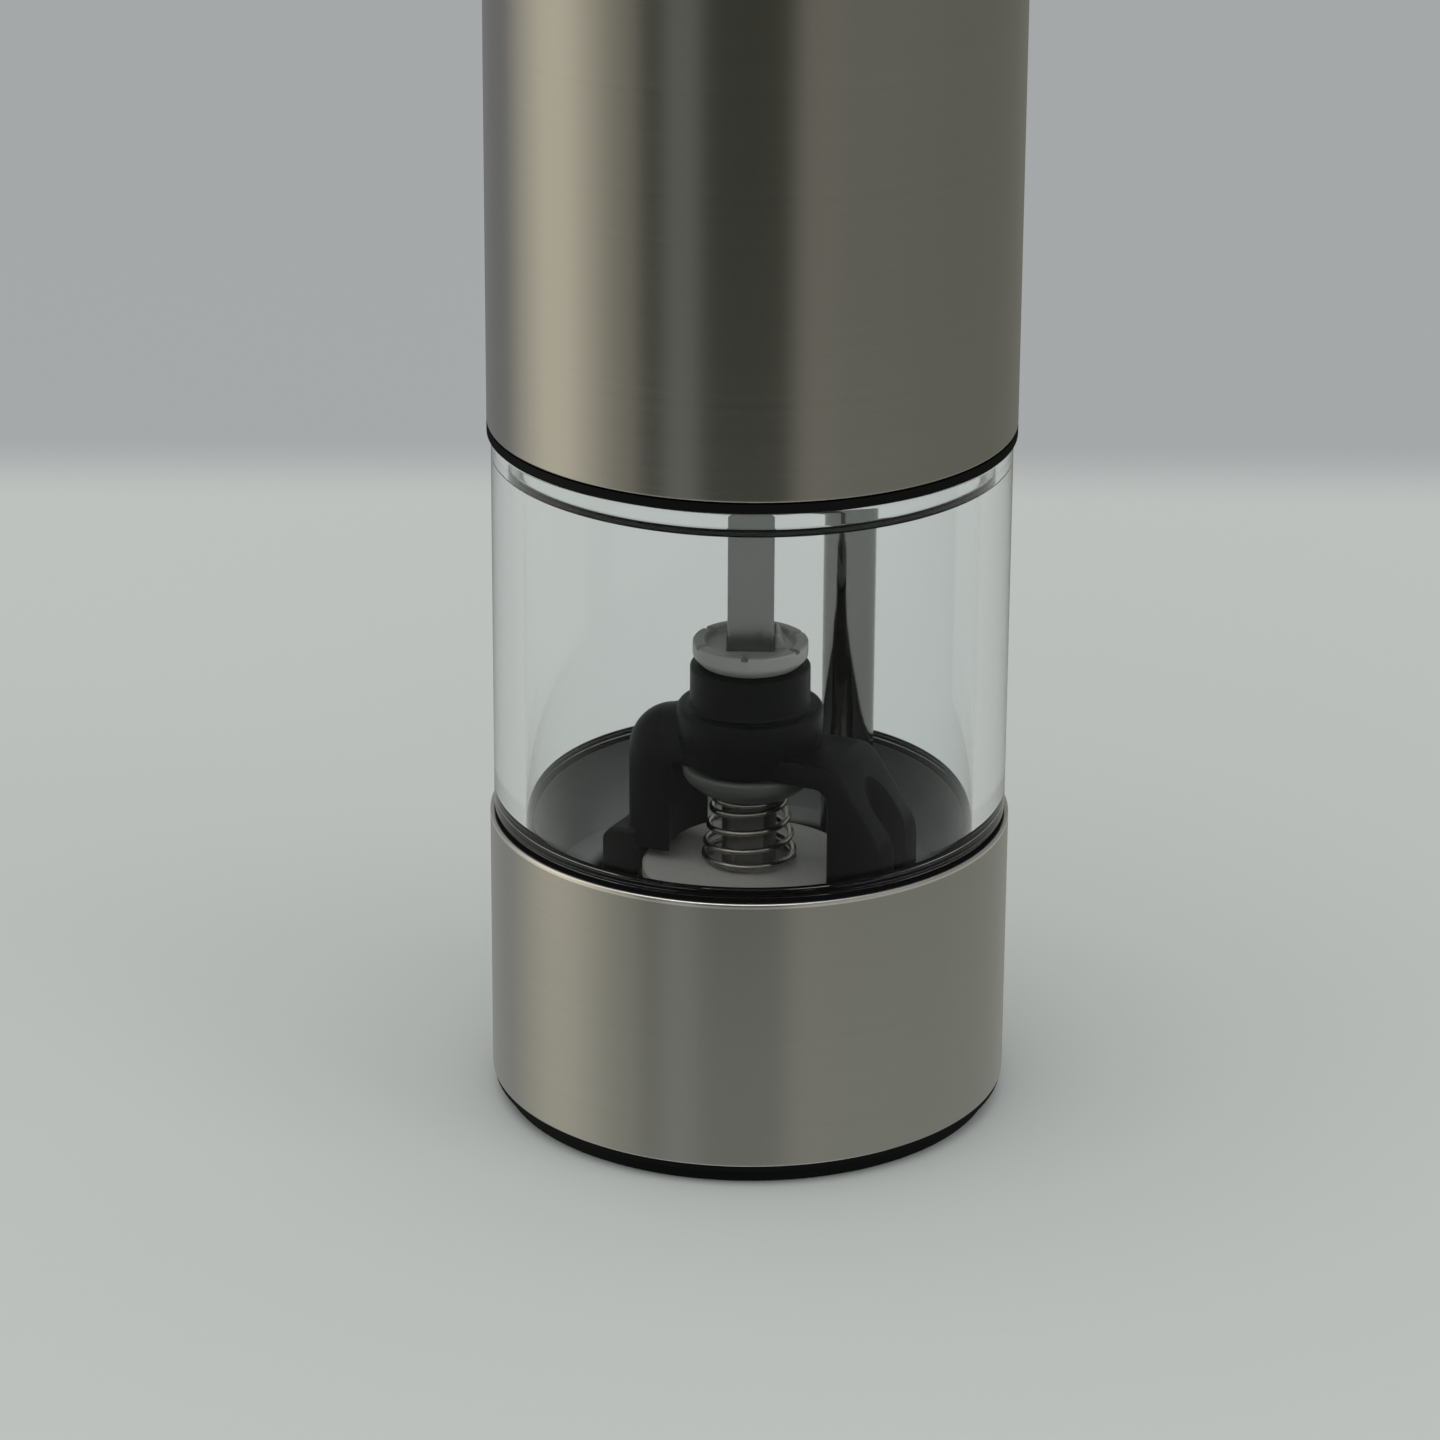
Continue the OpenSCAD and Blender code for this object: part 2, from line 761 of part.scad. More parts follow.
// Fluted knob on the spindle's thread, reached through the outlet
module adjust_knob() {
  color("#2a2a2a")
    translate([0, 0, knob_z])
      difference() {
        cylinder(h = knob_h, d = knob_d);
        translate([0, 0, -cut])
          cylinder(h = knob_h + 2 * cut, r = thread_r + run_gap);
        for (i = [0:knob_flutes - 1])
          rotate([0, 0, 360 * i / knob_flutes])
            translate([knob_d / 2 + flute_out, 0, -cut])
              cylinder(h = knob_h + 2 * cut, r = flute_r, $fn = 32);
      }
}

// Place of the screw in the bridge's front foot
module at_bridge_screw() {
  rotate([0, 0, bridge_angle])
    translate([bridge_screw_at, 0, 0])
      children();
}

// Place of the peg under the bridge's rear foot
module at_bridge_peg() {
  rotate([0, 0, bridge_angle + 180])
    translate([bridge_peg_at, 0, 0])
      children();
}

// Outline of the bridge's front arm: flat top, long slope, and an arch over the burr
function front_outline() = [
  [0, front_top], [web_r + front_flat, front_top], [front_reach, floor_z + front_wall], [front_reach, floor_z],
  [foot_flat, floor_z], [foot_flat, hub_z - arch_cut], [foot_flat - arch_cut, hub_z], [0, hub_z]
];

// Outline of the rear foot, bevelled towards its arm
function foot_outline() = [
  [foot_flat, floor_z], [rear_reach + foot_step, floor_z], [rear_reach + foot_step, foot_top - foot_bevel],
  [rear_reach + foot_step - foot_bevel, foot_top], [foot_flat, foot_top]
];

// Slab of the bridge's width with an outline seen from the side
module arm_slab(outline) {
  rotate([90, 0, 0])
    translate([0, 0, -arm_side])
      linear_extrude(arm_w)
        polygon(outline);
}

// Rear arm: a round bar that leans into the hub, a ball for a shoulder, and a post down to just over the burr
module rear_arm() {
  difference() {
    translate([shoulder_at, 0, 0]) {
      translate([0, 0, shoulder_z])
        rotate([0, bar_tilt - 90, 0])
          cylinder(h = (shoulder_at - bar_in) / cos(bar_tilt), r = arm_side - bar_step);
      rotate_extrude() {
        translate([0, disc_top + arm_root])
          square([arm_side, shoulder_z - disc_top - arm_root]);
        translate([0, shoulder_z])
          intersection() {
            circle(r = arm_side);
            square(arm_side);
          }
      }
    }
    translate([0, 0, floor_z])
      cylinder(h = hub_z - floor_z, r = web_r);
  }
}

// Black bridge over the burrs: two arms and the hub that guides the spindle
module burr_bridge() {
  color("#141414")
    difference() {
      union() {
        rotate([0, 0, bridge_angle])
          arm_slab(front_outline());
        rotate([0, 0, bridge_angle + 180]) {
          rear_arm();
          arm_slab(foot_outline());
        }
        translate([0, 0, hub_z])
          cylinder(h = hub_low_h, d = hub_low_d);
        translate([0, 0, hub_z])
          cylinder(h = hub_top - hub_z, d = hub_d);
        at_bridge_peg()
          translate([0, 0, floor_z - bridge_peg_h])
            cylinder(h = bridge_peg_h + cut, r = bridge_peg_r);
      }
      translate([0, 0, floor_z - bridge_peg_h - cut])
        cylinder(h = disc_top + arm_root - floor_z + bridge_peg_h + cut, r = foot_in);
      translate([0, 0, hub_z - cut])
        cylinder(h = hub_top - hub_z + 2 * cut, r = stem_r + run_gap);
      at_bridge_screw() {
        translate([0, 0, floor_z - cut])
          cylinder(h = foot_top - floor_z + 2 * cut, r = bridge_screw_r + slip_gap);
        translate([0, 0, bridge_screw_z])
          cylinder(h = foot_top, r = screw_head_r + slip_gap);
      }
    }
}

// Screw that holds the bridge's front foot on the hopper's floor
module bridge_screw() {
  shank = bridge_screw_seat + bridge_screw_h - screw_end_gap;
  color("#b8b8b8")
    at_bridge_screw()
      translate([0, 0, bridge_screw_z])
        mirror([0, 0, 1])
          screw(bridge_screw_r, shank, screw_head_r, screw_head_h);
}

// Polished tube that carries the lamp's wires through the jar
module conduit_tube() {
  color("#b5b5b2")
    at_tube()
      translate([0, 0, floor_z])
        difference() {
          cylinder(h = tube_top - floor_z, r = tube_r);
          translate([0, 0, -cut])
            cylinder(h = tube_top - floor_z + 2 * cut, r = tube_bore);
        }
}

// Contact plug on top of the tube, with a pad for each pin
module tube_contact() {
  color("#c9c5b8")
    at_tube()
      difference() {
        union() {
          translate([0, 0, tube_top])
            cylinder(h = contact_h, r = tube_r);
          translate([0, 0, tube_top - contact_h])
            cylinder(h = contact_h, r = tube_bore - run_gap);
        }
        translate([0, 0, contact_top])
          cube([contact_slot, tube_d + cut, contact_h / 2], center = true);
      }
}

// Pair of wires from the plug down the tube, out below the floor and down to the lamp's board
module lamp_wires() {
  jog = lamp_at - tube_at - wire_shift;
  color("#aa3a2a")
    at_tube()
      for (side = [-1, 1])
        translate([wire_shift, side * wire_pitch / 2, 0]) {
          translate([0, 0, wire_bend_z])
            cylinder(h = tube_top - contact_h - wire_bend_z, r = wire_r);
          translate([0, 0, wire_bend_z])
            sphere(r = wire_r);
          translate([0, 0, wire_bend_z])
            rotate([0, 90, 0])
              cylinder(h = jog, r = wire_r);
          translate([jog, 0, wire_bend_z])
            sphere(r = wire_r);
          translate([jog, 0, board_z + board_t])
            cylinder(h = wire_bend_z - board_z - board_t, r = wire_r);
        }
}

// Small board on the foot's boss
module lamp_board() {
  color("#1f5a36")
    at_lamp()
      translate([0, 0, board_z])
        cylinder(h = board_t, r = boss_r);
}

// Lamp that shines down through its window
module lamp() {
  color("#f2f0e6")
    at_lamp()
      rotate_extrude()
        polygon(concat(
          [[0, board_z]],
          arc(0, board_z - lamp_h + lamp_r, lamp_r, -90, 0),
          [[lamp_r, board_z]]
        ));
}

// Clear window of the lamp in the foot
module lamp_window() {
  color("#e6ecee", 0.5)
    at_lamp()
      translate([0, 0, window_ledge])
        cylinder(h = foot_h - window_ledge - lamp_r / 4, r = window_r);
}

// Black bulkhead: the ring that shows on the jar, and the deck under the gearbox
module bulkhead() {
  color("#121212")
    difference() {
      union() {
        translate([0, 0, unit_z])
          cylinder(h = ring_top - unit_z, r = body_r);
        translate([0, 0, ring_top])
          cylinder(h = deck_h, r = deck_r);
      }
      translate([0, 0, jar_top - cut])
        cylinder(h = ring_h + deck_h + 2 * cut, r = bush_r);
      at_tube()
        for (side = [-1, 1])
          translate([0, side * wire_pitch, jar_top - cut])
            cylinder(h = ring_h + deck_h + 2 * cut, r = pin_r + run_gap);
      at_gearbox_screws()
        translate([0, 0, deck_top - gearbox_screw_bite])
          cylinder(h = deck_h + cut, r = screw_r + slip_gap);
    }
}

// Clear plug ring in the jar's mouth
module plug_ring() {
  color("#e8eeee", 0.35)
    rotate_extrude()
      translate([plug_in, plug_z])
        square([plug_r - plug_in, plug_h + face_gap]);
}

// Thin black seal under the plug's edge
module plug_seal() {
  color("#101010")
    rotate_extrude()
      translate([seal_r - seal_w, seal_z])
        square([seal_w, seal_h]);
}

// Pins that feed the tube's contact plug
module contact_pins() {
  color("#c8a24a")
    at_tube()
      for (side = [-1, 1])
        translate([0, side * wire_pitch, contact_top + face_gap])
          cylinder(h = deck_top - contact_top - face_gap, r = pin_r);
}

// Bronze bush of the drive shaft
module shaft_bush() {
  color("#a87d4a")
    translate([0, 0, jar_top + axial_gap])
      difference() {
        cylinder(h = deck_top - jar_top - axial_gap, r = bush_r - run_gap);
        translate([0, 0, -cut])
          cylinder(h = deck_top - jar_top + cut, r = journal_r + run_gap);
      }
}

// Places of the long gearbox screws
module at_gearbox_screws() {
  for (turn = [0:120:240])
    rotate([0, 0, turn + 90])
      translate([gearbox_screw_at, 0, 0])
        children();
}

// Housing of the gearbox, with the ring gear that both stages share
module gear_housing() {
  gear_z = planet2_z - axial_gap / 2;
  color("#3a3a3c")
    difference() {
      translate([0, 0, deck_top])
        cylinder(h = plate_z - deck_top, r = gearbox_r);
      translate([0, 0, deck_top - cut])
        cylinder(h = gear_floor_t + 2 * cut, r = bush_r);
      translate([0, 0, deck_top + gear_floor_t])
        cylinder(h = gear_z - deck_top - gear_floor_t, r = gearbox_in);
      translate([0, 0, gear_z])
        linear_extrude(planet1_z + gear_w + axial_gap - gear_z)
          polygon(gear_outline(ring_teeth, ring_pitch_r + dedendum, ring_pitch_r - addendum,
            tooth_w + 2 * dedendum * flank, tooth_w - 2 * addendum * flank));
      translate([0, 0, planet1_z + gear_w + axial_gap])
        cylinder(h = head_room + cut, r = gearbox_in);
      at_gearbox_screws()
        translate([0, 0, deck_top - cut])
          cylinder(h = plate_z - deck_top + 2 * cut, r = screw_r + slip_gap);
    }
}

// Plate that closes the gearbox and carries the motor
module motor_plate() {
  color("#8c8f92")
    difference() {
      translate([0, 0, plate_z])
        cylinder(h = plate_t, r = gearbox_r);
      translate([0, 0, plate_z - cut])
        cylinder(h = plate_t + 2 * cut, r = motor_boss_r + slip_gap);
      at_motor_screws()
        translate([0, 0, plate_z - cut])
          cylinder(h = plate_t + 2 * cut, r = screw_r + slip_gap);
      at_gearbox_screws()
        translate([0, 0, plate_z - cut])
          cylinder(h = plate_t + 2 * cut, r = screw_r + slip_gap);
    }
}

// Long screws that clamp plate, housing and bulkhead
module gearbox_screws() {
  color("#b8b8b8")
    at_gearbox_screws()
      translate([0, 0, motor_z])
        mirror([0, 0, 1])
          screw(screw_r, motor_z - deck_top + gearbox_screw_bite - slip_gap, screw_head_r, screw_head_h);
}

// Places of the two motor screws
module at_motor_screws() {
  for (side = [-1, 1])
    translate([side * motor_screw_at, 0, 0])
      children();
}

// Screws from the gearbox side into the motor's face
module motor_screws() {
  color("#b8b8b8")
    at_motor_screws()
      translate([0, 0, plate_z])
        screw(screw_r, plate_t + motor_face_t - slip_gap, screw_head_r, screw_head_h);
}

// Steel can of the motor, with its front boss
module motor_can() {
  color("#c4c6c8")
    difference() {
      union() {
        translate([0, 0, motor_z])
          cylinder(h = motor_h, r = motor_r);
        translate([0, 0, motor_z - motor_boss_h])
          cylinder(h = motor_boss_h + cut, r = motor_boss_r);
      }
      translate([0, 0, motor_z + motor_face_t])
        cylinder(h = motor_h, r = motor_r - can_t);
      translate([0, 0, motor_z - motor_boss_h - cut])
        cylinder(h = motor_boss_h + motor_face_t + 2 * cut, r = motor_shaft_r + run_gap);
      at_motor_screws()
        translate([0, 0, motor_z - cut])
          cylinder(h = motor_face_t + 2 * cut, r = screw_r + slip_gap);
    }
}

// Plastic end cap of the motor, with two terminals and the rear bearing
module motor_end_cap() {
  color("#e9e6da")
    translate([0, 0, motor_z + motor_h])
      difference() {
        union() {
          cylinder(h = cap_t, r = motor_r);
          for (side = [-1, 1])
            translate([side * terminal_at, -terminal_w / 2, 0])
              cube([terminal_t, terminal_w, cap_t + terminal_h]);
        }
        translate([0, 0, -cut])
          cylinder(h = cap_t + 2 * cut, r = motor_shaft_r + run_gap);
      }
}

// Two curved magnets inside the can
module motor_magnets() {
  color("#4a4a4c")
    for (side = [0, 180])
      rotate([0, 0, side])
        translate([0, 0, core_z - magnet_over])
          intersection() {
            difference() {
              cylinder(h = magnet_h, r = motor_r - can_t - run_gap);
              translate([0, 0, -cut])
                cylinder(h = magnet_h + 2 * cut, r = motor_r - can_t - magnet_t);
            }
            translate([0, -magnet_w / 2, -cut])
              cube([motor_d, magnet_w, magnet_h + 2 * cut]);
          }
}

// Armature: shaft, three-pole core and commutator
module motor_armature() {
  color("#9c6a3c")
    union() {
      translate([0, 0, planet1_z])
        cylinder(h = motor_top + shaft_tail - planet1_z, r = motor_shaft_r);
      translate([0, 0, core_z + core_h + commutator_gap])
        cylinder(h = commutator_h, r = commutator_r);
      translate([0, 0, core_z])
        difference() {
          cylinder(h = core_h, r = core_r);
          for (turn = [0:120:240])
            rotate([0, 0, turn])
              translate([core_slot_in, -core_slot / 2, -cut])
                cube([core_r, core_slot, core_h + 2 * cut]);
        }
    }
}

// Housing tube around gearbox and motor, with the floor that carries the battery holder
module motor_housing() {
  color("#2c2c2e")
    difference() {
      translate([0, 0, deck_top])
        cylinder(h = housing_top - deck_top, r = housing_r);
      translate([0, 0, deck_top - cut])
        cylinder(h = housing_top - housing_floor_t - deck_top + cut, r = housing_in);
      translate([0, 0, housing_top - housing_floor_t - cut])
        cylinder(h = housing_floor_t + 2 * cut, r = wire_hole);
    }
}

// Battery holder: two end discs on a cross-shaped spine
module battery_holder() {
  spine_w = 2 * (cell_at + cell_d / 2) * spine_over;
  color("#202022")
    difference() {
      union() {
        translate([0, 0, holder_z])
          cylinder(h = holder_t, r = housing_r);
        translate([0, 0, holder_top - holder_t])
          cylinder(h = holder_t, r = housing_r);
        for (turn = [0, 90])
          rotate([0, 0, turn])
            translate([-spine_w / 2, -spine_t / 2, holder_z])
              cube([spine_w, spine_t, holder_top - holder_z]);
      }
      at_holder_screws()
        translate([0, 0, holder_top - screw_len / 2])
          cylinder(h = screw_len, r = screw_r / 2);
    }
}

// Places of the holes for the switch board's pegs
module at_holder_screws() {
  for (turn = [45:90:315])
    rotate([0, 0, turn])
      translate([switch_board_r - switch_hole_edge, 0, 0])
        children();
}

// Places of the cells: every other one stands on its head
module at_cells() {
  for (turn = [0:90:270])
    rotate([0, 0, turn])
      translate([cell_at, cell_at, 0]) {
        $upside_down = (turn % 180) != 0;
        children();
      }
}

// A cell of the battery, nub up
module cell() {
  cylinder(h = cell_h - nub_h, d = cell_d);
  cylinder(h = cell_h, r = nub_r);
}

// The four cells
module battery_cells() {
  color("#4c7a55")
    at_cells()
      translate([0, 0, cell_floor])
        if ($upside_down)
          translate([0, 0, cell_h])
            mirror([0, 0, 1])
              cell();
        else
          translate([0, 0, cell_spring_h])
            cell();
}

// Conical spring at the flat end of each cell
module cell_springs() {
  color("#c0c0c0")
    at_cells()
      translate([0, 0, cell_floor])
        if ($upside_down)
          translate([0, 0, cell_space])
            rotate([180, 0, 0])
              coil(cell_spring_path, cell_wire);
        else
          coil(cell_spring_path, cell_wire);
}

// Round contact plates at both ends of each cell
module contact_plates() {
  color("#c6c6c6")
    at_cells()
      for (z = [cell_floor - contact_t, cell_floor + cell_space])
        translate([0, 0, z])
          cylinder(h = contact_t, d = cell_d * plate_share);
}

// Board of the switch
module switch_board() {
  color("#23603a")
    difference() {
      translate([0, 0, holder_top])
        cylinder(h = switch_board_t, r = switch_board_r);
      at_holder_screws()
        translate([0, 0, holder_top - cut])
          cylinder(h = switch_board_t + 2 * cut, r = screw_r / 2);
    }
}

// Body of the push switch
module switch_body() {
  color("#30343a")
    difference() {
      translate([-switch_w / 2, -switch_w / 2, switch_z])
        cube([switch_w, switch_w, switch_h]);
      translate([0, 0, switch_z + switch_h - plunger_in - button_travel - axial_gap])
        cylinder(h = switch_h, r = plunger_r + run_gap);
    }
}

// Plunger of the switch
module switch_plunger() {
  color("#c23b2e")
    translate([0, 0, switch_z + switch_h - plunger_in])
      cylinder(h = plunger_h + plunger_in, r = plunger_r);
}

// A gear standing on z = 0
module gear(teeth, pitch_r, h) {
  linear_extrude(h)
    polygon(gear_outline(teeth, pitch_r - dedendum, pitch_r + addendum,
      tooth_w + 2 * dedendum * flank, tooth_w - 2 * addendum * flank));
}

// Brass pinion on the motor shaft
module sun_pinion() {
  color("#c9a544")
    translate([0, 0, planet1_z])
      difference() {
        gear(sun_teeth, sun_pitch_r, gear_w);
        translate([0, 0, -cut])
          cylinder(h = gear_w + 2 * cut, r = motor_shaft_r + press_gap);
      }
}

// A planet gear, the i-th of its stage
module planet(i, z) {
  color("#e4dfce")
    rotate([0, 0, 360 * i / planet_count])
      translate([orbit_r, 0, z])
        difference() {
          rotate([0, 0, 180 / planet_teeth])
            gear(planet_teeth, planet_pitch_r, gear_w);
          translate([0, 0, -cut])
            cylinder(h = gear_w + 2 * cut, r = planet_pin_d / 2 + run_gap);
        }
}

module planet_1a() { planet(0, planet1_z); }
module planet_1b() { planet(1, planet1_z); }
module planet_1c() { planet(2, planet1_z); }
module planet_2a() { planet(0, planet2_z); }
module planet_2b() { planet(1, planet2_z); }
module planet_2c() { planet(2, planet2_z); }

// A carrier disc with its three pins
module carrier(z) {
  translate([0, 0, z])
    cylinder(h = carrier_t, r = carrier_r);
  for (i = [0:planet_count - 1])
    rotate([0, 0, 360 * i / planet_count])
      translate([orbit_r, 0, z])
        cylinder(h = carrier_t + axial_gap + gear_w, d = planet_pin_d);
}

// Carrier of the first stage, with the sun gear of the second under it
module carrier_1() {
  color("#d8d2c0")
    union() {
      carrier(carrier1_z);
      translate([0, 0, planet2_z])
        gear(sun_teeth, sun_pitch_r, gear_w + axial_gap + cut);
    }
}

// Carrier of the second stage, on the drive shaft
module carrier_2() {
  color("#d8d2c0")
    difference() {
      carrier(carrier2_z);
      translate([0, 0, carrier2_z - cut])
        cylinder(h = carrier_t + 2 * cut, r = journal_r + press_gap);
    }
}

// Square drive shaft with a round journal in the bush
module drive_shaft() {
  square_top = jar_top + axial_gap - face_gap;
  color("#8f8f8f")
    union() {
      translate([-shaft_w / 2, -shaft_w / 2, shaft_z])
        cube([shaft_w, shaft_w, square_top - shaft_z]);
      translate([0, 0, shaft_z + cut])
        cylinder(h = shaft_top - shaft_z - cut, r = journal_r);
    }
}

// Brushed steel sleeve of the cover
module upper_sleeve() {
  color("#8f8a80")
    difference() {
      translate([0, 0, ring_top + face_gap])
        cylinder(h = cap_z - ring_top - face_gap, r = body_r);
      translate([0, 0, ring_top])
        cylinder(h = cap_z - ring_top + cut, r = sleeve_in);
    }
}

// Black top cap with the well of the button
module top_cap() {
  well_r = button_r + 2 * slip_gap;
  color("#161616")
    rotate_extrude()
      polygon(concat(
        [[button_stem_r + run_gap, cap_z], [deck_r - cap_wall, cap_z]],
        [[deck_r - cap_wall, cap_z - cap_skirt_h], [deck_r, cap_z - cap_skirt_h], [deck_r, cap_z]],
        [[body_r, cap_z]],
        arc(body_r - cap_round, cap_top - cap_round, cap_round, 0, 90, 6),
        [[well_r + cap_round / 4, cap_top], [well_r, cap_top - cap_round / 4], [well_r, cap_z + cap_floor_t]],
        [[button_stem_r + run_gap, cap_z + cap_floor_t]]
      ));
}

// Push button: crowned cup on a stem
module push_button() {
  color("#1a1a1a")
    difference() {
      rotate_extrude()
        polygon(concat(
          [[0, stem_z], [button_stem_r, stem_z], [button_stem_r, button_under]],
          [[button_r - button_wall, button_under], [button_r - button_wall, button_skirt_z]],
          [[button_r, button_skirt_z]],
          arc(button_r - button_edge, button_top - button_crown - button_edge, button_edge, 0, 90, 4),
          [for (i = [3:-1:1]) [(button_r - button_edge) * i / 4, button_top - button_crown * pow(i / 4, 2)]],
          [[0, button_top]]
        ));
      clip_groove(clip_t + 2 * run_gap, -run_gap);
    }
}

// Groove of the button's clip, opened by a slack below the clip
module clip_groove(h, drop) {
  translate([0, 0, cap_z - face_gap - clip_t + drop])
    difference() {
      cylinder(h = h, r = button_stem_r + cut);
      translate([0, 0, -cut])
        cylinder(h = h + 2 * cut, r = button_stem_r - clip_bite);
    }
}

// Clip that keeps the button in the cap
module button_clip() {
  color("#b0b0b0")
    translate([0, 0, cap_z - face_gap - clip_t])
      difference() {
        cylinder(h = clip_t, r = button_stem_r + clip_t);
        translate([0, 0, -cut])
          cylinder(h = clip_t + 2 * cut, r = button_stem_r - clip_bite + press_gap);
        translate([0, -button_stem_r / 2, -cut])
          cube([button_stem_r + 2 * clip_t, button_stem_r, clip_t + 2 * cut]);
      }
}

// Spring that returns the button
module button_spring() {
  color("#c0c0c0")
    coil(button_spring_path, button_wire);
}

base_foot();
base_sleeve();
hopper();
foot_screws();
jar();
stator_burr();
burr_bridge();
bridge_screw();
conduit_tube();
tube_contact();
lamp_wires();
lamp_board();
lamp();
lamp_window();
drive_socket();
spindle_rod();
thrust_washer();
burr_spring();
rotor_burr();
adjust_knob();
bulkhead();
plug_ring();
plug_seal();
contact_pins();
shaft_bush();
gear_housing();
motor_plate();
gearbox_screws();
motor_can();
motor_end_cap();
motor_magnets();
motor_screws();
motor_housing();
battery_holder();
battery_cells();
cell_springs();
contact_plates();
switch_board();
switch_body();
motor_armature();
sun_pinion();
planet_1a();
planet_1b();
planet_1c();
carrier_1();
planet_2a();
planet_2b();
planet_2c();
carrier_2();
drive_shaft();
switch_plunger();
upper_sleeve();
top_cap();
push_button();
button_clip();
button_spring();
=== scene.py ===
"""Looks of a battery-driven salt and pepper mill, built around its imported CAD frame.

Sizes are in millimetres, in the frame's own place: +Z up along the mill's axis, origin under the foot.
"""

import json
import logging
import math
from dataclasses import dataclass
from enum import Enum
from typing import Any, Iterator, Sequence

import bpy
from mathutils import Matrix, Vector


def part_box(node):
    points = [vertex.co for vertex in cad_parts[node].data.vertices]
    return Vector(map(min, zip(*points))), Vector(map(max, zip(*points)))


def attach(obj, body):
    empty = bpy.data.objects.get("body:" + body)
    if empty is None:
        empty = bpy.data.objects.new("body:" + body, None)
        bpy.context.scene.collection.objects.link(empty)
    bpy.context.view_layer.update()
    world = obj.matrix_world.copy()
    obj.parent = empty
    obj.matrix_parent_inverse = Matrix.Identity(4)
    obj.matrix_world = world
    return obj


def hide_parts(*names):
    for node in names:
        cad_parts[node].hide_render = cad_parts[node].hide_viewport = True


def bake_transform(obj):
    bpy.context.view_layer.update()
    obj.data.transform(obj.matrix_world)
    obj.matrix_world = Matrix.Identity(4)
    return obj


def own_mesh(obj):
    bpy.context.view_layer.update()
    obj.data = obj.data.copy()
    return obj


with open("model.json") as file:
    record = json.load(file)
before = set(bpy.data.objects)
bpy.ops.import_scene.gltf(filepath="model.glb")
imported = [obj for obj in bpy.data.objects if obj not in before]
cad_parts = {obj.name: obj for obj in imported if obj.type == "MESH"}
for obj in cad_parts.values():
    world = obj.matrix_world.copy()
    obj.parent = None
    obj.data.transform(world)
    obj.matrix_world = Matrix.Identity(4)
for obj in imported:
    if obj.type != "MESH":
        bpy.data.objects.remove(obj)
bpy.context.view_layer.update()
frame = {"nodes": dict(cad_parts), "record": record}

LOG = logging.getLogger("mill")
MM = 0.001
FULL_TURN = 2 * math.pi
FINE_STEPS = 192
SMALL_STEPS = 96
JOURNAL_STEPS = 64
HOLE_STEPS = 48
COIL_STEPS = 40
WIRE_STEPS = 4
WELD_MM = 0.002
HOLD_MM = 0.1
HOLD_SHARE = 0.04
FILLET_SHARE = 0.45
OVERCUT_MM = 1.0
SHARP_EDGE = 28
SMOOTH_EDGE = 32

Colour = tuple[float, float, float]
Scale = tuple[float, float, float]
Spot = tuple[float, float, float]
Point = tuple[float, float]
Socket = Any


class Slot(Enum):
    """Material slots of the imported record."""

    BLACK = "black_plastic"
    GLOSS_BLACK = "gloss_black"
    BRUSHED = "brushed_steel"
    SATIN = "satin_steel"
    SPRING = "spring_steel"
    POLISHED = "polished_steel"
    CLEAR = "clear_acrylic"
    CERAMIC = "ceramic"
    NYLON = "nylon"
    GREY = "grey_plastic"
    PALE = "pale_plastic"
    RUBBER = "seal_rubber"
    BRASS = "brass"
    ZINC = "zinc_steel"
    ALUMINIUM = "aluminium"
    BOARD = "board_green"
    LAMP = "lamp_white"
    WIRE = "wire_red"
    SWITCH = "switch_red"
    CELL = "cell_wrap"
    COPPER = "copper"
    MAGNET = "magnet"


class Body(Enum):
    """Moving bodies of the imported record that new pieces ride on."""

    BASE = "base"
    SPINDLE = "spindle"
    GRINDER = "grinder"
    UNIT = "motor_unit"
    OUTPUT = "output"
    COVER = "cover"
    BUTTON = "button"


class Wire:
    """A shader socket that takes part in Python arithmetic."""

    def __init__(self, sheet: "NodeSheet", socket: bpy.types.NodeSocket) -> None:
        """Keep the socket and the sheet that new Math nodes go on."""
        self.sheet = sheet
        self.socket = socket

    def _math(self, operation: str, first: Socket, second: Socket) -> "Wire":
        """Join two terms by a Math node."""
        return self.sheet.node("ShaderNodeMath", {"operation": operation}, {0: first, 1: second})

    def __add__(self, other: Socket) -> "Wire":
        """self + other"""
        return self._math("ADD", self, other)

    def __radd__(self, other: Socket) -> "Wire":
        """other + self"""
        return self._math("ADD", other, self)

    def __sub__(self, other: Socket) -> "Wire":
        """self - other"""
        return self._math("SUBTRACT", self, other)

    def __rsub__(self, other: Socket) -> "Wire":
        """other - self"""
        return self._math("SUBTRACT", other, self)

    def __mul__(self, other: Socket) -> "Wire":
        """self * other"""
        return self._math("MULTIPLY", self, other)

    def __rmul__(self, other: Socket) -> "Wire":
        """other * self"""
        return self._math("MULTIPLY", other, self)

    def __truediv__(self, other: Socket) -> "Wire":
        """self / other"""
        return self._math("DIVIDE", self, other)

    def __pow__(self, other: Socket) -> "Wire":
        """self ** other"""
        return self._math("POWER", self, other)

    def below(self, level: float) -> "Wire":
        """1 where self is under a level, 0 elsewhere."""
        return self._math("LESS_THAN", self, level)

    def above(self, level: float) -> "Wire":
        """1 where self is over a level, 0 elsewhere."""
        return self._math("GREATER_THAN", self, level)


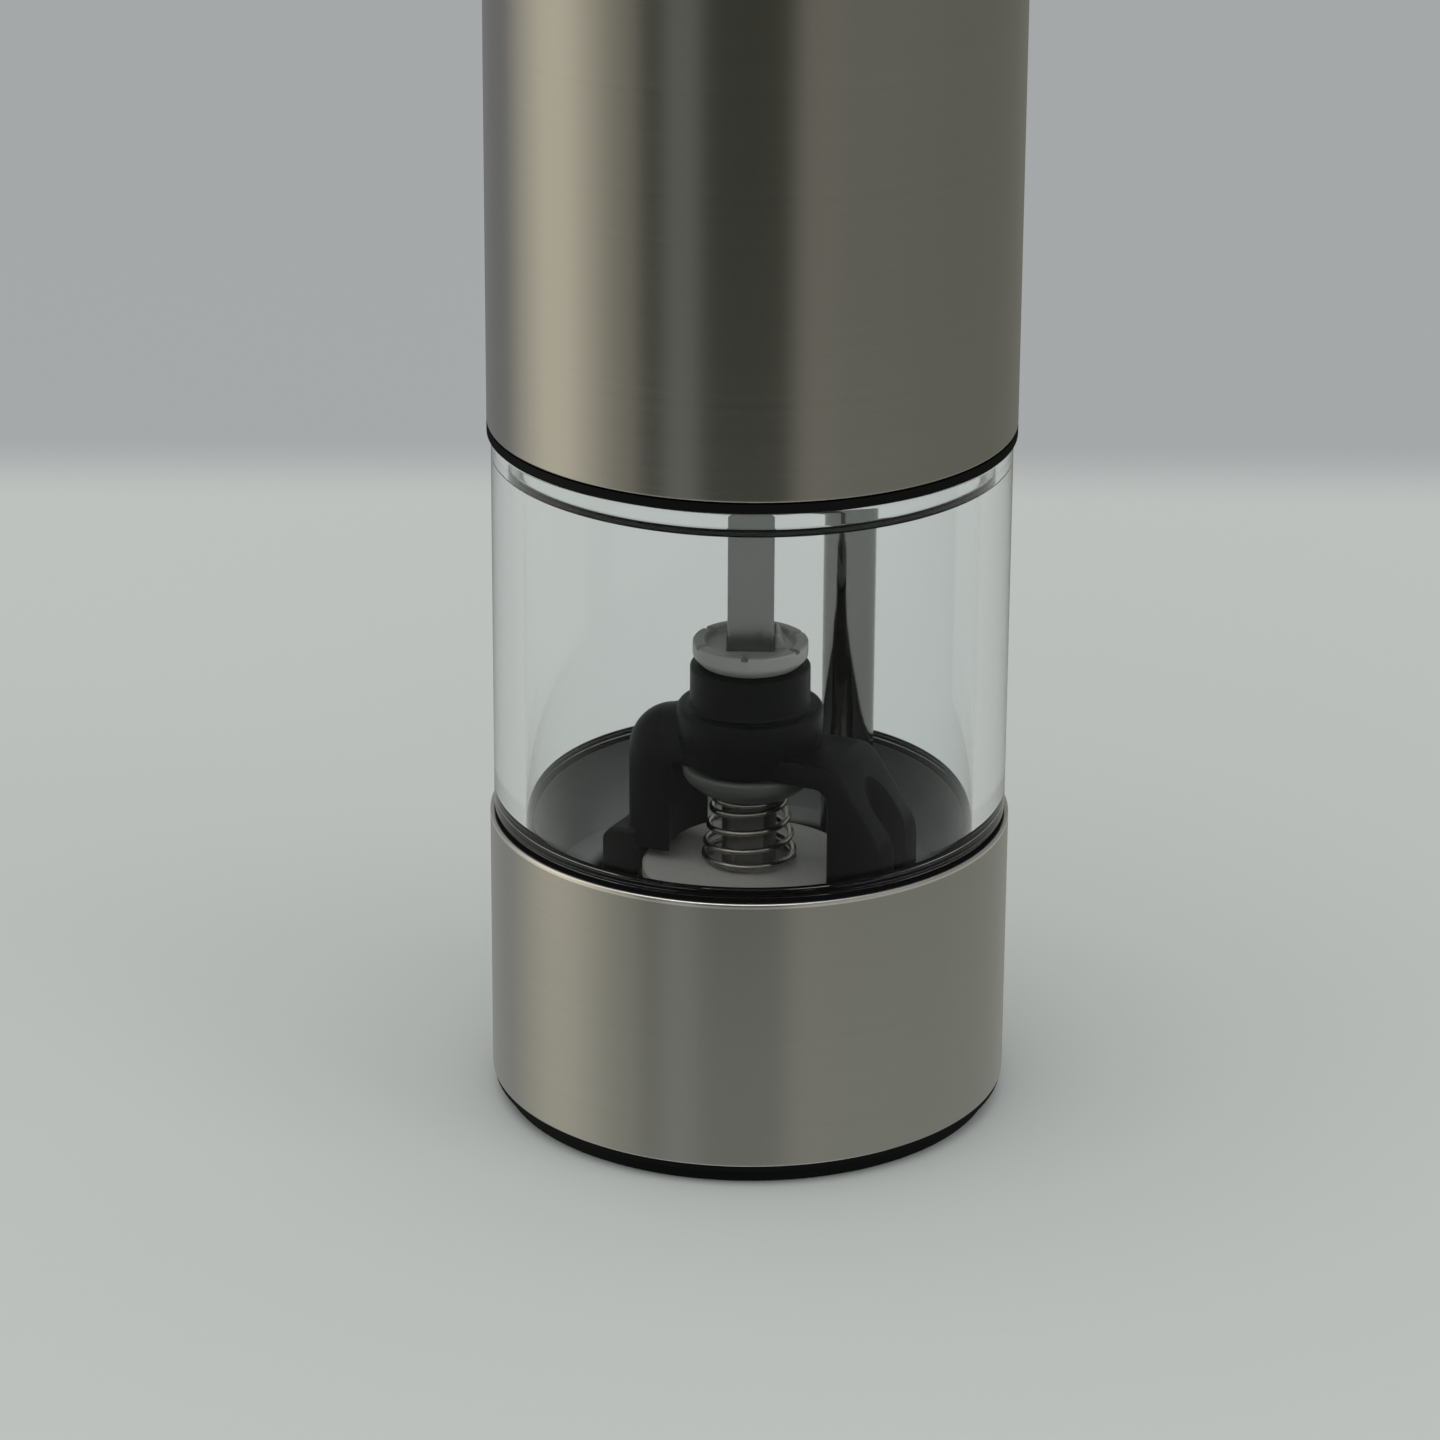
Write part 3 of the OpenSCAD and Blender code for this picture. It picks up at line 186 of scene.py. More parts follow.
class NodeSheet:
    """A node tree that is filled from empty."""

    def __init__(self, tree: bpy.types.NodeTree) -> None:
        """Take over a tree and clear it."""
        self.tree = tree
        tree.nodes.clear()

    def node(self, kind: str, settings: dict[str, Any] | None = None,
             inputs: dict[str | int, Socket] | None = None, output: str | int = 0) -> Wire:
        """Add a node.

        Args:
            kind: the node's type.
            settings: its properties, set first; "stops" are a ramp's places and colours.
            inputs: values or wires for its sockets, by name or number.
            output: the socket to hand back.

        Returns:
            The chosen output.
        """
        made = self.tree.nodes.new(kind)
        for key, value in (settings or {}).items():
            if key == "stops":
                self._set_stops(made.color_ramp, value)
            else:
                setattr(made, key, value)
        for key, value in (inputs or {}).items():
            target = made.inputs[key]
            if isinstance(value, Wire):
                self.tree.links.new(value.socket, target)
            else:
                target.default_value = value
        return Wire(self, made.outputs[output] if made.outputs else None)

    @staticmethod
    def _set_stops(ramp: bpy.types.ColorRamp, stops: Sequence[tuple[float, Colour]]) -> None:
        """Give a colour ramp its stops, in rising order."""
        while len(ramp.elements) < len(stops):
            ramp.elements.new(1.0)
        for element, (place, colour) in zip(ramp.elements, stops):
            element.position = place
            element.color = (*colour, 1)

    def place(self, scale: Sequence[float]) -> Wire:
        """Object coordinates, stretched along each axis."""
        spot = self.node("ShaderNodeTexCoord", output="Object")
        return self.node("ShaderNodeMapping", {}, {"Vector": spot, "Scale": scale})

    def axis(self, name: str) -> Wire:
        """One Object coordinate, X, Y or Z, in metres."""
        spot = self.node("ShaderNodeTexCoord", output="Object")
        return self.node("ShaderNodeSeparateXYZ", {}, {0: spot}, name)

    def radius(self) -> Wire:
        """Distance from the mill's axis, in metres."""
        return (self.axis("X") ** 2 + self.axis("Y") ** 2) ** 0.5

    def noise(self, scale: Sequence[float], detail: float = 2.0) -> Wire:
        """Smooth noise about 0.5, with so many features to the metre along each axis."""
        return self.node("ShaderNodeTexNoise", {}, {
            "Vector": self.place(scale), "Scale": 1.0, "Detail": detail})

    def mix(self, share: Socket, first: Socket, second: Socket) -> Wire:
        """Mix two colours."""
        colours = [c if isinstance(c, Wire) else (*c, 1) for c in (first, second)]
        return self.node("ShaderNodeMix", {"data_type": "RGBA"}, {0: share, 6: colours[0], 7: colours[1]}, 2)

    def shade(self, share: Socket, colour: Colour, change: float) -> Wire:
        """A colour that runs from darker to lighter by a share of itself.

        Args:
            share: 0 for the darker end, 1 for the lighter one.
            colour: the middle colour.
            change: how far each end departs from it.

        Returns:
            The varied colour.
        """
        ends = [tuple(min(1.0, c * k) for c in colour) for k in (1 - change, 1 + change)]
        return self.mix(share, ends[0], ends[1])

    def smooth_step(self, value: Wire, start: float, end: float,
                    first: float = 0.0, last: float = 1.0) -> Wire:
        """A soft change from a first to a last value, while a wire runs from start to end."""
        return self.node("ShaderNodeMapRange", {"interpolation_type": "SMOOTHSTEP"}, {
            0: value, 1: start, 2: end, 3: first, 4: last})

    def bump(self, height: Wire, depth_mm: float, strength: float) -> Wire:
        """A normal from a height map of so many millimetres."""
        return self.node("ShaderNodeBump", {}, {
            "Strength": strength, "Distance": depth_mm * MM, "Height": height})


@dataclass(frozen=True)
class Finish:
    """A surface finish that makes one procedural material."""

    slot: Slot
    colour: Colour

    def material(self) -> bpy.types.Material:
        """The finish's material, made once.

        Returns:
            The material.
        """
        name = self.slot.value + "_finish"
        if name in bpy.data.materials:
            return bpy.data.materials[name]
        made = bpy.data.materials.new(name)
        made.use_nodes = True
        sheet = NodeSheet(made.node_tree)
        surface = sheet.node("ShaderNodeBsdfPrincipled", {}, self.sockets(sheet))
        sheet.node("ShaderNodeOutputMaterial", {}, {"Surface": self.wrap(sheet, surface)})
        return made

    def sockets(self, sheet: NodeSheet) -> dict[str, Socket]:
        """The shader's socket values, by name."""
        raise NotImplementedError

    def wrap(self, sheet: NodeSheet, surface: Wire) -> Wire:
        """The shader that the output shows."""
        return surface


@dataclass(frozen=True)
class BrushedSteel(Finish):
    """Steel sheet brushed around the body: long fine lines, reflections drawn out along the axis."""

    rough: float = 0.25
    rough_drift: float = 0.08
    colour_drift: float = 0.05
    pull: float = 0.6
    pull_turn: float = 0.25
    around: float = 22.0
    line_mm: float = 0.18
    line_share: float = 0.65
    line_depth: float = 0.003
    line_strength: float = 0.2
    band_mm: float = 0.9
    # Painted highlight: a pale colour and the levels of its band along the base sleeve's rolled top hem
    hem_highlight_colour: Colour = (0.90, 0.89, 0.86)
    highlight_low: float = 28.95
    highlight_high: float = 29.5

    def sockets(self, sheet: NodeSheet) -> dict[str, Socket]:
        """Metal with lines around the axis, and a painted highlight, a pale band of colour, along the rolled
        hem on top of the base.

        Args:
            sheet: the material's node sheet.

        Returns:
            The shader's socket values, by name.
        """
        lines = sheet.noise((self.around, self.around, 1 / (self.line_mm * MM)), detail=3.0)
        bands = sheet.noise((self.around / 2, self.around / 2, 1 / (self.band_mm * MM)))
        grain = lines * self.line_share + bands * (1 - self.line_share)
        level = sheet.axis("Z")
        # Painted highlight: the colour turns pale in a band at the base sleeve's rolled top hem, standing in
        # for the light that the edge catches
        hem = level.above(self.highlight_low * MM) * level.below(self.highlight_high * MM)
        return {
            "Base Color": sheet.mix(hem, sheet.shade(grain, self.colour, self.colour_drift), self.hem_highlight_colour),
            "Metallic": 1.0,
            "Roughness": self.rough - self.rough_drift / 2 + grain * self.rough_drift,
            "Anisotropic": self.pull,
            "Anisotropic Rotation": self.pull_turn,
            "Normal": sheet.bump(lines, self.line_depth, self.line_strength),
        }


@dataclass(frozen=True)
class PlainMetal(Finish):
    """Metal with a fine even grain, from mirror bright to satin."""

    rough: float = 0.2
    grain_mm: float = 0.15
    depth_mm: float = 0.003
    grain_strength: float = 0.3
    smear_scale: Scale = (180, 180, 60)
    colour_drift: float = 0.08
    rough_drift: float = 0.5

    def sockets(self, sheet: NodeSheet) -> dict[str, Socket]:
        """Metal with small scuffs.

        Args:
            sheet: the material's node sheet.

        Returns:
            The shader's socket values, by name.
        """
        grain = sheet.noise((1 / (self.grain_mm * MM),) * 3)
        smears = sheet.noise(self.smear_scale, detail=3.0)
        return {
            "Base Color": sheet.shade(smears, self.colour, self.colour_drift),
            "Metallic": 1.0,
            "Roughness": self.rough * (1 - self.rough_drift / 2 + smears * self.rough_drift),
            "Normal": sheet.bump(grain, self.depth_mm, self.grain_strength),
        }


@dataclass(frozen=True)
class MouldedPlastic(Finish):
    """Moulded plastic with a fine spark grain and faint flow marks."""

    rough: float = 0.42
    grain_mm: float = 0.12
    depth_mm: float = 0.006
    through: float = 0.0
    gloss: float = 0.5
    rough_drift: float = 0.16
    colour_drift: float = 0.12
    grain_strength: float = 0.5
    flow_scale: Scale = (90, 90, 140)

    def sockets(self, sheet: NodeSheet) -> dict[str, Socket]:
        """Plastic with grain and slight colour drift.

        Args:
            sheet: the material's node sheet.

        Returns:
            The shader's socket values, by name.
        """
        grain = sheet.noise((1 / (self.grain_mm * MM),) * 3)
        flow = sheet.noise(self.flow_scale, detail=3.0)
        return {
            "Base Color": self.tint(sheet, flow),
            "Roughness": self.rough - self.rough_drift / 2 + flow * self.rough_drift,
            "Transmission Weight": self.through,
            "Specular IOR Level": self.gloss,
            "Normal": sheet.bump(grain, self.depth_mm, self.grain_strength),
        }

    def tint(self, sheet: NodeSheet, flow: Wire) -> Wire:
        """The plastic's colour with its drift."""
        return sheet.shade(flow, self.colour, self.colour_drift)


@dataclass(frozen=True)
class BowlPlastic(MouldedPlastic):
    """Black plastic whose bowl has painted light: a grey painted sheen on its inner wall, paler towards its
    floor to offset the shade there.
    """

    # Painted sheen on the bowl's inner wall: grey at the top, paler low down where painted light offsets the
    # shade
    wall_sheen_colour: Colour = (0.17, 0.174, 0.176)
    low_light_colour: Colour = (0.46, 0.475, 0.48)
    bowl_r: float = 21.35
    well_r: float = 15.5
    well_edge: float = 2.0
    bowl_low: float = 21.4
    bowl_high: float = 29.75
    sheen_drift: float = 0.3
    coat: float = 0.16
    coat_rough: float = 0.4
    seat_low: float = 28.4
    seat_high: float = 30.0

    def sockets(self, sheet: NodeSheet) -> dict[str, Socket]:
        """Moulded plastic whose sheen is a thin coat that stops at the jar's dull seat.

        Args:
            sheet: the material's node sheet.

        Returns:
            The shader's socket values, by name.
        """
        level = sheet.axis("Z")
        seat = level.above(self.seat_low * MM) * level.below(self.seat_high * MM)
        coat = {"Coat Weight": self.coat - seat * self.coat, "Coat Roughness": self.coat_rough}
        return super().sockets(sheet) | coat

    def tint(self, sheet: NodeSheet, flow: Wire) -> Wire:
        """Black outside; on the bowl's inner wall and outer floor a painted sheen, grey, and paler towards
        the floor where painted light offsets the shade.

        Args:
            sheet: the material's node sheet.
            flow: the plastic's flow marks.

        Returns:
            The plastic's colour.
        """
        level = sheet.axis("Z")
        inside = level.above(self.bowl_low * MM) * level.below(self.bowl_high * MM)
        out = sheet.radius()
        inside *= out.below(self.bowl_r * MM)
        inside *= sheet.smooth_step(out, self.well_r * MM, (self.well_r + self.well_edge) * MM)
        rise = (level - self.bowl_low * MM) / ((self.bowl_high - self.bowl_low) * MM)
        # Painted sheen and painted light: grey high on the wall, paler at the bottom, the blend varied by the
        # flow noise
        wall = sheet.mix(rise + flow * self.sheen_drift - self.sheen_drift / 2, self.low_light_colour, self.wall_sheen_colour)
        return sheet.mix(inside, super().tint(sheet, flow), wall)


@dataclass(frozen=True)
class ClearAcrylic(Finish):
    """Polished clear acrylic with hairline scuffs; lamps shine through it."""

    bend: float = 1.49
    sheen: float = 0.18
    scuff_rough: float = 0.035
    scuff_scale: Scale = (400, 400, 2600)

    def sockets(self, sheet: NodeSheet) -> dict[str, Socket]:
        """Clear plastic."""
        scuffs = sheet.noise(self.scuff_scale, detail=4.0)
        return {
            "Base Color": (*self.colour, 1),
            "Roughness": scuffs * self.scuff_rough,
            "IOR": self.bend,
            "Specular Tint": (*(self.sheen,) * 3, 1),
            "Transmission Weight": 1.0,
        }

    def wrap(self, sheet: NodeSheet, surface: Wire) -> Wire:
        """Let shadow rays pass, so that the lamps light what stands inside.

        Args:
            sheet: the material's node sheet.
            surface: the shader of the clear plastic.

        Returns:
            The mixed shader.
        """
        shadow = sheet.node("ShaderNodeLightPath", output="Is Shadow Ray")
        clear = sheet.node("ShaderNodeBsdfTransparent", {}, {"Color": (*self.colour, 1)})
        return sheet.node("ShaderNodeMixShader", {}, {0: shadow, 1: surface, 2: clear})


@dataclass(frozen=True)
class FiredCeramic(Finish):
    """Unglazed fired ceramic: chalky, with small dark specks."""

    rough: float = 0.5
    rough_drift: float = 0.2
    colour_drift: float = 0.1
    cloud_scale: float = 260
    pit_scale: float = 5200
    pit_depth: float = 0.008
    pit_strength: float = 0.4
    speck_level: float = 0.36
    speck_share: float = 0.5
    speck_shade: float = 0.35

    def sockets(self, sheet: NodeSheet) -> dict[str, Socket]:
        """Ceramic with specks and fine pits.

        Args:
            sheet: the material's node sheet.

        Returns:
            The shader's socket values, by name.
        """
        cloud = sheet.noise((self.cloud_scale,) * 3, detail=4.0)
        pits = sheet.noise((self.pit_scale,) * 3)
        specks = pits.below(self.speck_level)
        body = sheet.shade(cloud, self.colour, self.colour_drift)
        dark = tuple(part * self.speck_shade for part in self.colour)
        return {
            "Base Color": sheet.mix(specks * self.speck_share, body, dark),
            "Roughness": self.rough - self.rough_drift / 2 + cloud * self.rough_drift,
            "Normal": sheet.bump(pits, self.pit_depth, self.pit_strength),
        }


@dataclass(frozen=True)
class CellFilm(Finish):
    """Printed film over a cell: a coloured body with a plain metallic shoulder band."""

    band_colour: Colour = (0.55, 0.50, 0.38)
    band_from: float = 36.0
    band_metal: float = 0.7
    film_metal: float = 0.1
    rough: float = 0.24
    rough_drift: float = 0.12
    colour_drift: float = 0.08
    flat_low: float = 145.6
    flat_high: float = 190.9
    smear_scale: Scale = (140, 140, 60)

    def sockets(self, sheet: NodeSheet) -> dict[str, Socket]:
        """Two plain bands along each cell; cells in every other quarter stand upside down.

        Args:
            sheet: the material's node sheet.

        Returns:
            The shader's socket values, by name.
        """
        over = (sheet.axis("X") * sheet.axis("Y")).below(0)
        level = sheet.axis("Z")
        along = (level - self.flat_low * MM) * (1 - over) + (self.flat_high * MM - level) * over
        band = along.above(self.band_from * MM)
        smears = sheet.noise(self.smear_scale, detail=3.0)
        film = sheet.shade(smears, self.colour, self.colour_drift)
        return {
            "Base Color": sheet.mix(band, film, self.band_colour),
            "Metallic": band * self.band_metal + self.film_metal,
            "Roughness": self.rough + smears * self.rough_drift,
        }


@dataclass(frozen=True)
class CircuitBoard(Finish):
    """Coated board with copper tracks showing faintly through."""

    rough: float = 0.3
    coat: float = 0.4
    track_scale: float = 700
    track_w: float = 0.06
    pad_shade: float = 0.85
    track_shade: float = 1.9

    def sockets(self, sheet: NodeSheet) -> dict[str, Socket]:
        """Green coat over a grid of tracks."""
        tracks = sheet.node("ShaderNodeTexBrick", {}, {
            "Vector": sheet.place((self.track_scale,) * 3), "Scale": 1.0, "Mortar Size": self.track_w,
            "Color1": (*self.colour, 1), "Color2": (*(c * self.pad_shade for c in self.colour), 1),
            "Mortar": (*(c * self.track_shade for c in self.colour), 1),
        })
        return {"Base Color": tracks, "Roughness": self.rough, "Coat Weight": self.coat}


FINISHES: dict[Slot, Finish] = {
    finish.slot: finish for finish in (
        BowlPlastic(Slot.BLACK, (0.005, 0.005, 0.0055), gloss=0.0),
        MouldedPlastic(
            Slot.GLOSS_BLACK, (0.0025, 0.0027, 0.003), rough=0.4, grain_mm=0.3, depth_mm=0.0006, gloss=0.1),
        BrushedSteel(Slot.BRUSHED, (0.495, 0.500, 0.472)),
        PlainMetal(Slot.SATIN, (0.25, 0.25, 0.245), rough=0.34),
        PlainMetal(Slot.SPRING, (0.30, 0.28, 0.25), rough=0.2),
        PlainMetal(Slot.POLISHED, (0.23, 0.228, 0.22), rough=0.09, depth_mm=0.0005),
        ClearAcrylic(Slot.CLEAR, (0.97, 0.98, 0.978)),
        FiredCeramic(Slot.CERAMIC, (0.42, 0.416, 0.395)),
        MouldedPlastic(Slot.NYLON, (0.56, 0.56, 0.53), rough=0.34, depth_mm=0.003, through=0.35),
        MouldedPlastic(Slot.GREY, (0.085, 0.088, 0.083), rough=0.45),
        MouldedPlastic(Slot.PALE, (0.66, 0.62, 0.52), rough=0.4),
        MouldedPlastic(Slot.RUBBER, (0.010, 0.010, 0.010), rough=0.6, depth_mm=0.01),
        PlainMetal(Slot.BRASS, (0.60, 0.45, 0.18), rough=0.24),
        PlainMetal(Slot.ZINC, (0.52, 0.53, 0.54), rough=0.26),
        PlainMetal(Slot.ALUMINIUM, (0.50, 0.51, 0.52), rough=0.32),
        CircuitBoard(Slot.BOARD, (0.03, 0.16, 0.06)),
        MouldedPlastic(Slot.LAMP, (0.85, 0.84, 0.78), rough=0.2, depth_mm=0.001),
        MouldedPlastic(Slot.WIRE, (0.42, 0.05, 0.03), rough=0.35),
        MouldedPlastic(Slot.SWITCH, (0.50, 0.06, 0.04), rough=0.35),
        CellFilm(Slot.CELL, (0.10, 0.24, 0.13)),
        PlainMetal(Slot.COPPER, (0.45, 0.22, 0.10), rough=0.35, grain_mm=0.3, depth_mm=0.03),
        FiredCeramic(Slot.MAGNET, (0.07, 0.07, 0.075)),
    )
}


def rounded(corners: Sequence[tuple[float, ...]], closed: bool = True, steps: int = 4) -> list[Point]:
    """Points of an outline whose corners are eased.

    Args:
        corners: (radius, level) or (radius, level, fillet) of each corner.
        closed: whether the last corner runs back to the first.
        steps: edges to a fillet; a short flat at either end keeps its shading off the walls beside it.

    Returns:
        The outline's points.
    """
    points: list[Point] = []
    for index, corner in enumerate(corners):
        here = Vector(corner[:2])
        is_end = not closed and index in (0, len(corners) - 1)
        if len(corner) < 3 or is_end:
            points.append(tuple(here))
            continue
        before = Vector(corners[index - 1][:2]) - here
        after = Vector(corners[(index + 1) % len(corners)][:2]) - here
        shorter = min(before.length, after.length)
        reach = min(corner[2], shorter * FILLET_SHARE)
        hold = reach + min(HOLD_MM, shorter * HOLD_SHARE)
        before, after = before.normalized(), after.normalized()
        pull = math.sqrt((1 - before.dot(after)) / 2)
        points.append(tuple(here + before * hold))
        for step in range(steps + 1):
            t = step / steps
            shares = (1 - t) ** 2, 2 * t * (1 - t) * pull, t ** 2
            spot = (here + before * reach) * shares[0] + here * shares[1] + (here + after * reach) * shares[2]
            points.append(tuple(spot / sum(shares)))
        points.append(tuple(here + after * hold))
    return points


@dataclass(frozen=True)
class Extent:
    """Outer radius and levels of a CAD node that stands on the mill's axis, in millimetres."""

    r: float
    low: float
    high: float

    @classmethod
    def of(cls, node: str) -> "Extent":
        """Read a node's extent from the frame."""
        low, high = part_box(node)
        return cls(high[0] / MM, low[2] / MM, high[2] / MM)


class Bench:
    """Modelling moves, each made with Blender's own tools."""

    @staticmethod
    def clear() -> None:
        """Leave edit mode and deselect everything."""
        if bpy.context.object is not None and bpy.context.object.mode != "OBJECT":
            bpy.ops.object.mode_set(mode="OBJECT")
        bpy.ops.object.select_all(action="DESELECT")

    @classmethod
    def pick(cls, piece: bpy.types.Object) -> None:
        """Select one piece alone and make it active.

        Args:
            piece: the piece to work on.
        """
        cls.clear()
        piece.select_set(True)
        bpy.context.view_layer.objects.active = piece

    @classmethod
    def chain(cls, name: str, points: Sequence[Sequence[float]]) -> bpy.types.Object:
        """Draw a chain of edges out of a single vertex, and stay in edit mode.

        Args:
            name: the new object's name.
            points: the chain's corners, in millimetres.

        Returns:
            The object, with all of its mesh selected.
        """
        spots = [Vector(point) * MM for point in points]
        cls.clear()
        bpy.ops.mesh.primitive_plane_add(size=MM, location=spots[0])
        made = bpy.context.object
        made.name = made.data.name = name
        bpy.ops.object.transform_apply(location=True, rotation=True, scale=True)
        bpy.ops.object.mode_set(mode="EDIT")
        bpy.ops.mesh.select_all(action="SELECT")
        bpy.ops.mesh.merge(type="CENTER")
        for here, there in zip(spots, spots[1:]):
            bpy.ops.mesh.extrude_region_move(TRANSFORM_OT_translate={"value": there - here})
        bpy.ops.mesh.select_all(action="SELECT")
        return made

    @classmethod
    def turn(cls, name: str, profile: Sequence[Point], steps: int = FINE_STEPS,
             closed: bool = True) -> bpy.types.Object:
        """Turn a half section about the mill's axis.

        Args:
            name: the new object's name.
            profile: (radius, level) of each point.
            steps: facets around.
            closed: whether the section closes on itself rather than on the axis.

        Returns:
            The turned solid.
        """
        points = [(r, 0, z) for r, z in profile]
        made = cls.chain(name, points + points[:1] if closed else points)
        bpy.ops.mesh.spin(steps=steps, angle=FULL_TURN, center=(0, 0, 0), axis=(0, 0, 1))
        return cls.weld(made)

    @classmethod
    def prism(cls, name: str, outline: Sequence[Sequence[float]], along: Sequence[float]) -> bpy.types.Object:
        """Fill a flat outline and extrude it.

        Args:
            name: the new object's name.
            outline: its corners in space.
            along: how far and which way it is extruded.

        Returns:
            The solid.
        """
        made = cls.chain(name, outline)
        bpy.ops.mesh.edge_face_add()
        bpy.ops.mesh.extrude_region_move(TRANSFORM_OT_translate={"value": Vector(along) * MM})
        return cls.weld(made)

    @classmethod
    def slab(cls, name: str, outline: Sequence[Point], width: float, ease: float = 0.0) -> bpy.types.Object:
        """Extrude an outline in the XZ plane across Y.

        Args:
            name: the new object's name.
            outline: (x, z) of each corner.
            width: the slab's width, centred on the plane.
            ease: rounding of its edges.

        Returns:
            The slab.
        """
        made = cls.prism(name, [(x, -width / 2, z) for x, z in outline], (0, width, 0))
        if ease:
            cls.ease(made, ease)
        return made

    @classmethod
    def weld(cls, piece: bpy.types.Object) -> bpy.types.Object:
        """Merge doubled points, point the faces outward and leave edit mode.

        Args:
            piece: the piece, in edit mode.

        Returns:
            The piece.
        """
        bpy.ops.mesh.select_all(action="SELECT")
        bpy.ops.mesh.remove_doubles(threshold=WELD_MM * MM)
        bpy.ops.mesh.normals_make_consistent(inside=False)
        bpy.ops.object.mode_set(mode="OBJECT")
        return piece

    @classmethod
    def ease(cls, piece: bpy.types.Object, size: float, segments: int = 3) -> None:
        """Round a piece's sharp edges with a bevel modifier.

        Args:
            piece: the piece to round.
            size: the bevel's width.
            segments: facets to a bevel.
        """
        cls.pick(piece)
        bevel = piece.modifiers.new("ease", "BEVEL")
        bevel.width = size * MM
        bevel.segments = segments
        bevel.limit_method = "ANGLE"
        bevel.angle_limit = math.radians(SHARP_EDGE)
        bpy.ops.object.modifier_apply(modifier=bevel.name)

    @classmethod
    def combine(cls, piece: bpy.types.Object, other: bpy.types.Object, operation: str) -> bpy.types.Object:
        """Join another solid to a piece, or cut it away, and drop the other.

        Args:
            piece: the solid that is kept.
            other: the solid that is used up.
            operation: UNION to join, DIFFERENCE to cut.

        Returns:
            The kept solid.
        """
        cls.pick(piece)
        boolean = piece.modifiers.new("combine", "BOOLEAN")
        boolean.operation = operation
        boolean.solver = "EXACT"
        boolean.object = other
        bpy.ops.object.modifier_apply(modifier=boolean.name)
        bpy.data.objects.remove(other, do_unlink=True)
        return piece

    @classmethod
    def move(cls, piece: bpy.types.Object, x: float = 0.0, y: float = 0.0, z: float = 0.0,
             turn: float = 0.0) -> bpy.types.Object:
        """Turn a piece about Z by degrees, shift it, and put the place into its mesh.

        Args:
            piece: the piece to move.
            x: shift along X.
            y: shift along Y.
            z: shift along Z.
            turn: degrees about Z.

        Returns:
            The piece.
        """
        cls.pick(piece)
        piece.rotation_euler[2] = math.radians(turn)
        piece.location = Vector((x, y, z)) * MM
        bpy.ops.object.transform_apply(location=True, rotation=True, scale=True)
        return piece

    @classmethod
    def copy(cls, piece: bpy.types.Object, name: str) -> bpy.types.Object:
        """A copy with a mesh of its own.

        Args:
            piece: the piece to copy.
            name: the copy's name.

        Returns:
            The copy.
        """
        cls.pick(piece)
        bpy.ops.object.duplicate()
        made = bpy.context.object
        made.name = made.data.name = name
        return made

    @classmethod
    def drum(cls, name: str, r: float, low: float, high: float, steps: int = SMALL_STEPS) -> bpy.types.Object:
        """A plain upright cylinder on the axis."""
        return cls.turn(name, [(0, low), (r, low), (r, high), (0, high)], steps, closed=False)

    @classmethod
    def block(cls, name: str, size: Sequence[float], centre: Sequence[float]) -> bpy.types.Object:
        """A box with its place in its mesh.

        Args:
            name: the new object's name.
            size: its length along each axis.
            centre: its middle.

        Returns:
            The box.
        """
        cls.clear()
        bpy.ops.mesh.primitive_cube_add(size=MM, location=Vector(centre) * MM, scale=size)
        made = bpy.context.object
        made.name = made.data.name = name
        bpy.ops.object.transform_apply(location=True, rotation=True, scale=True)
        return made

    @classmethod
    def coil(cls, name: str, wire: float, low: float, high: float,
             low_r: float, high_r: float, curls: int) -> bpy.types.Object:
        """A compression spring with a closed turn at each end.

        Args:
            name: the new object's name.
            wire: wire diameter.
            low: level of the lower end face.
            high: level of the upper end face.
            low_r: coil radius at the lower end.
            high_r: coil radius at the upper end.
            curls: open turns.

        Returns:
            The spring.
        """
        shape = bpy.data.curves.new(name, "CURVE")
        shape.dimensions = "3D"
        shape.bevel_depth = wire / 2 * MM
        shape.bevel_resolution = WIRE_STEPS
        shape.use_fill_caps = True
        path = shape.splines.new("POLY")
        path.points.add((curls + 2) * COIL_STEPS)
        rise = high - low - wire
        for index, spot in enumerate(path.points):
            turns = index / COIL_STEPS
            dead = min(turns, 1) + max(0, turns - curls - 1)
            live = min(max(turns - 1, 0), curls) / curls
            level = low + wire / 2 + dead * wire + live * (rise - 2 * wire)
            r = low_r + (high_r - low_r) * live
            angle = turns * FULL_TURN
            spot.co = (r * MM * math.cos(angle), r * MM * math.sin(angle), level * MM, 1)
        made = bpy.data.objects.new(name, shape)
        bpy.context.scene.collection.objects.link(made)
        cls.pick(made)
        bpy.ops.object.convert(target="MESH")
        bpy.ops.object.mode_set(mode="EDIT")
        return cls.weld(bpy.context.object)


def fit(piece: bpy.types.Object, slot: Slot, body: Body | None, *nodes: str,
        angle: float = SMOOTH_EDGE) -> bpy.types.Object:
    """Finish a new piece and set it on the frame.

    Args:
        piece: the new piece.
        slot: its material slot, which gives its finish.
        body: the moving body it rides on, or None, which leaves it on no body.
        nodes: CAD nodes that it stands for.
        angle: edges flatter than this are smoothed.

    Returns:
        The piece.
    """
    Bench.pick(piece)
    bpy.ops.object.shade_smooth_by_angle(angle=math.radians(angle))
    piece.data.materials.clear()
    piece.data.materials.append(FINISHES[slot].material())
    if body is not None:
        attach(piece, body.value)
    if nodes:
        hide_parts(*nodes)
    LOG.info("%s: %d faces, for %s", piece.name, len(piece.data.polygons), ", ".join(nodes) or "no node")
    return piece


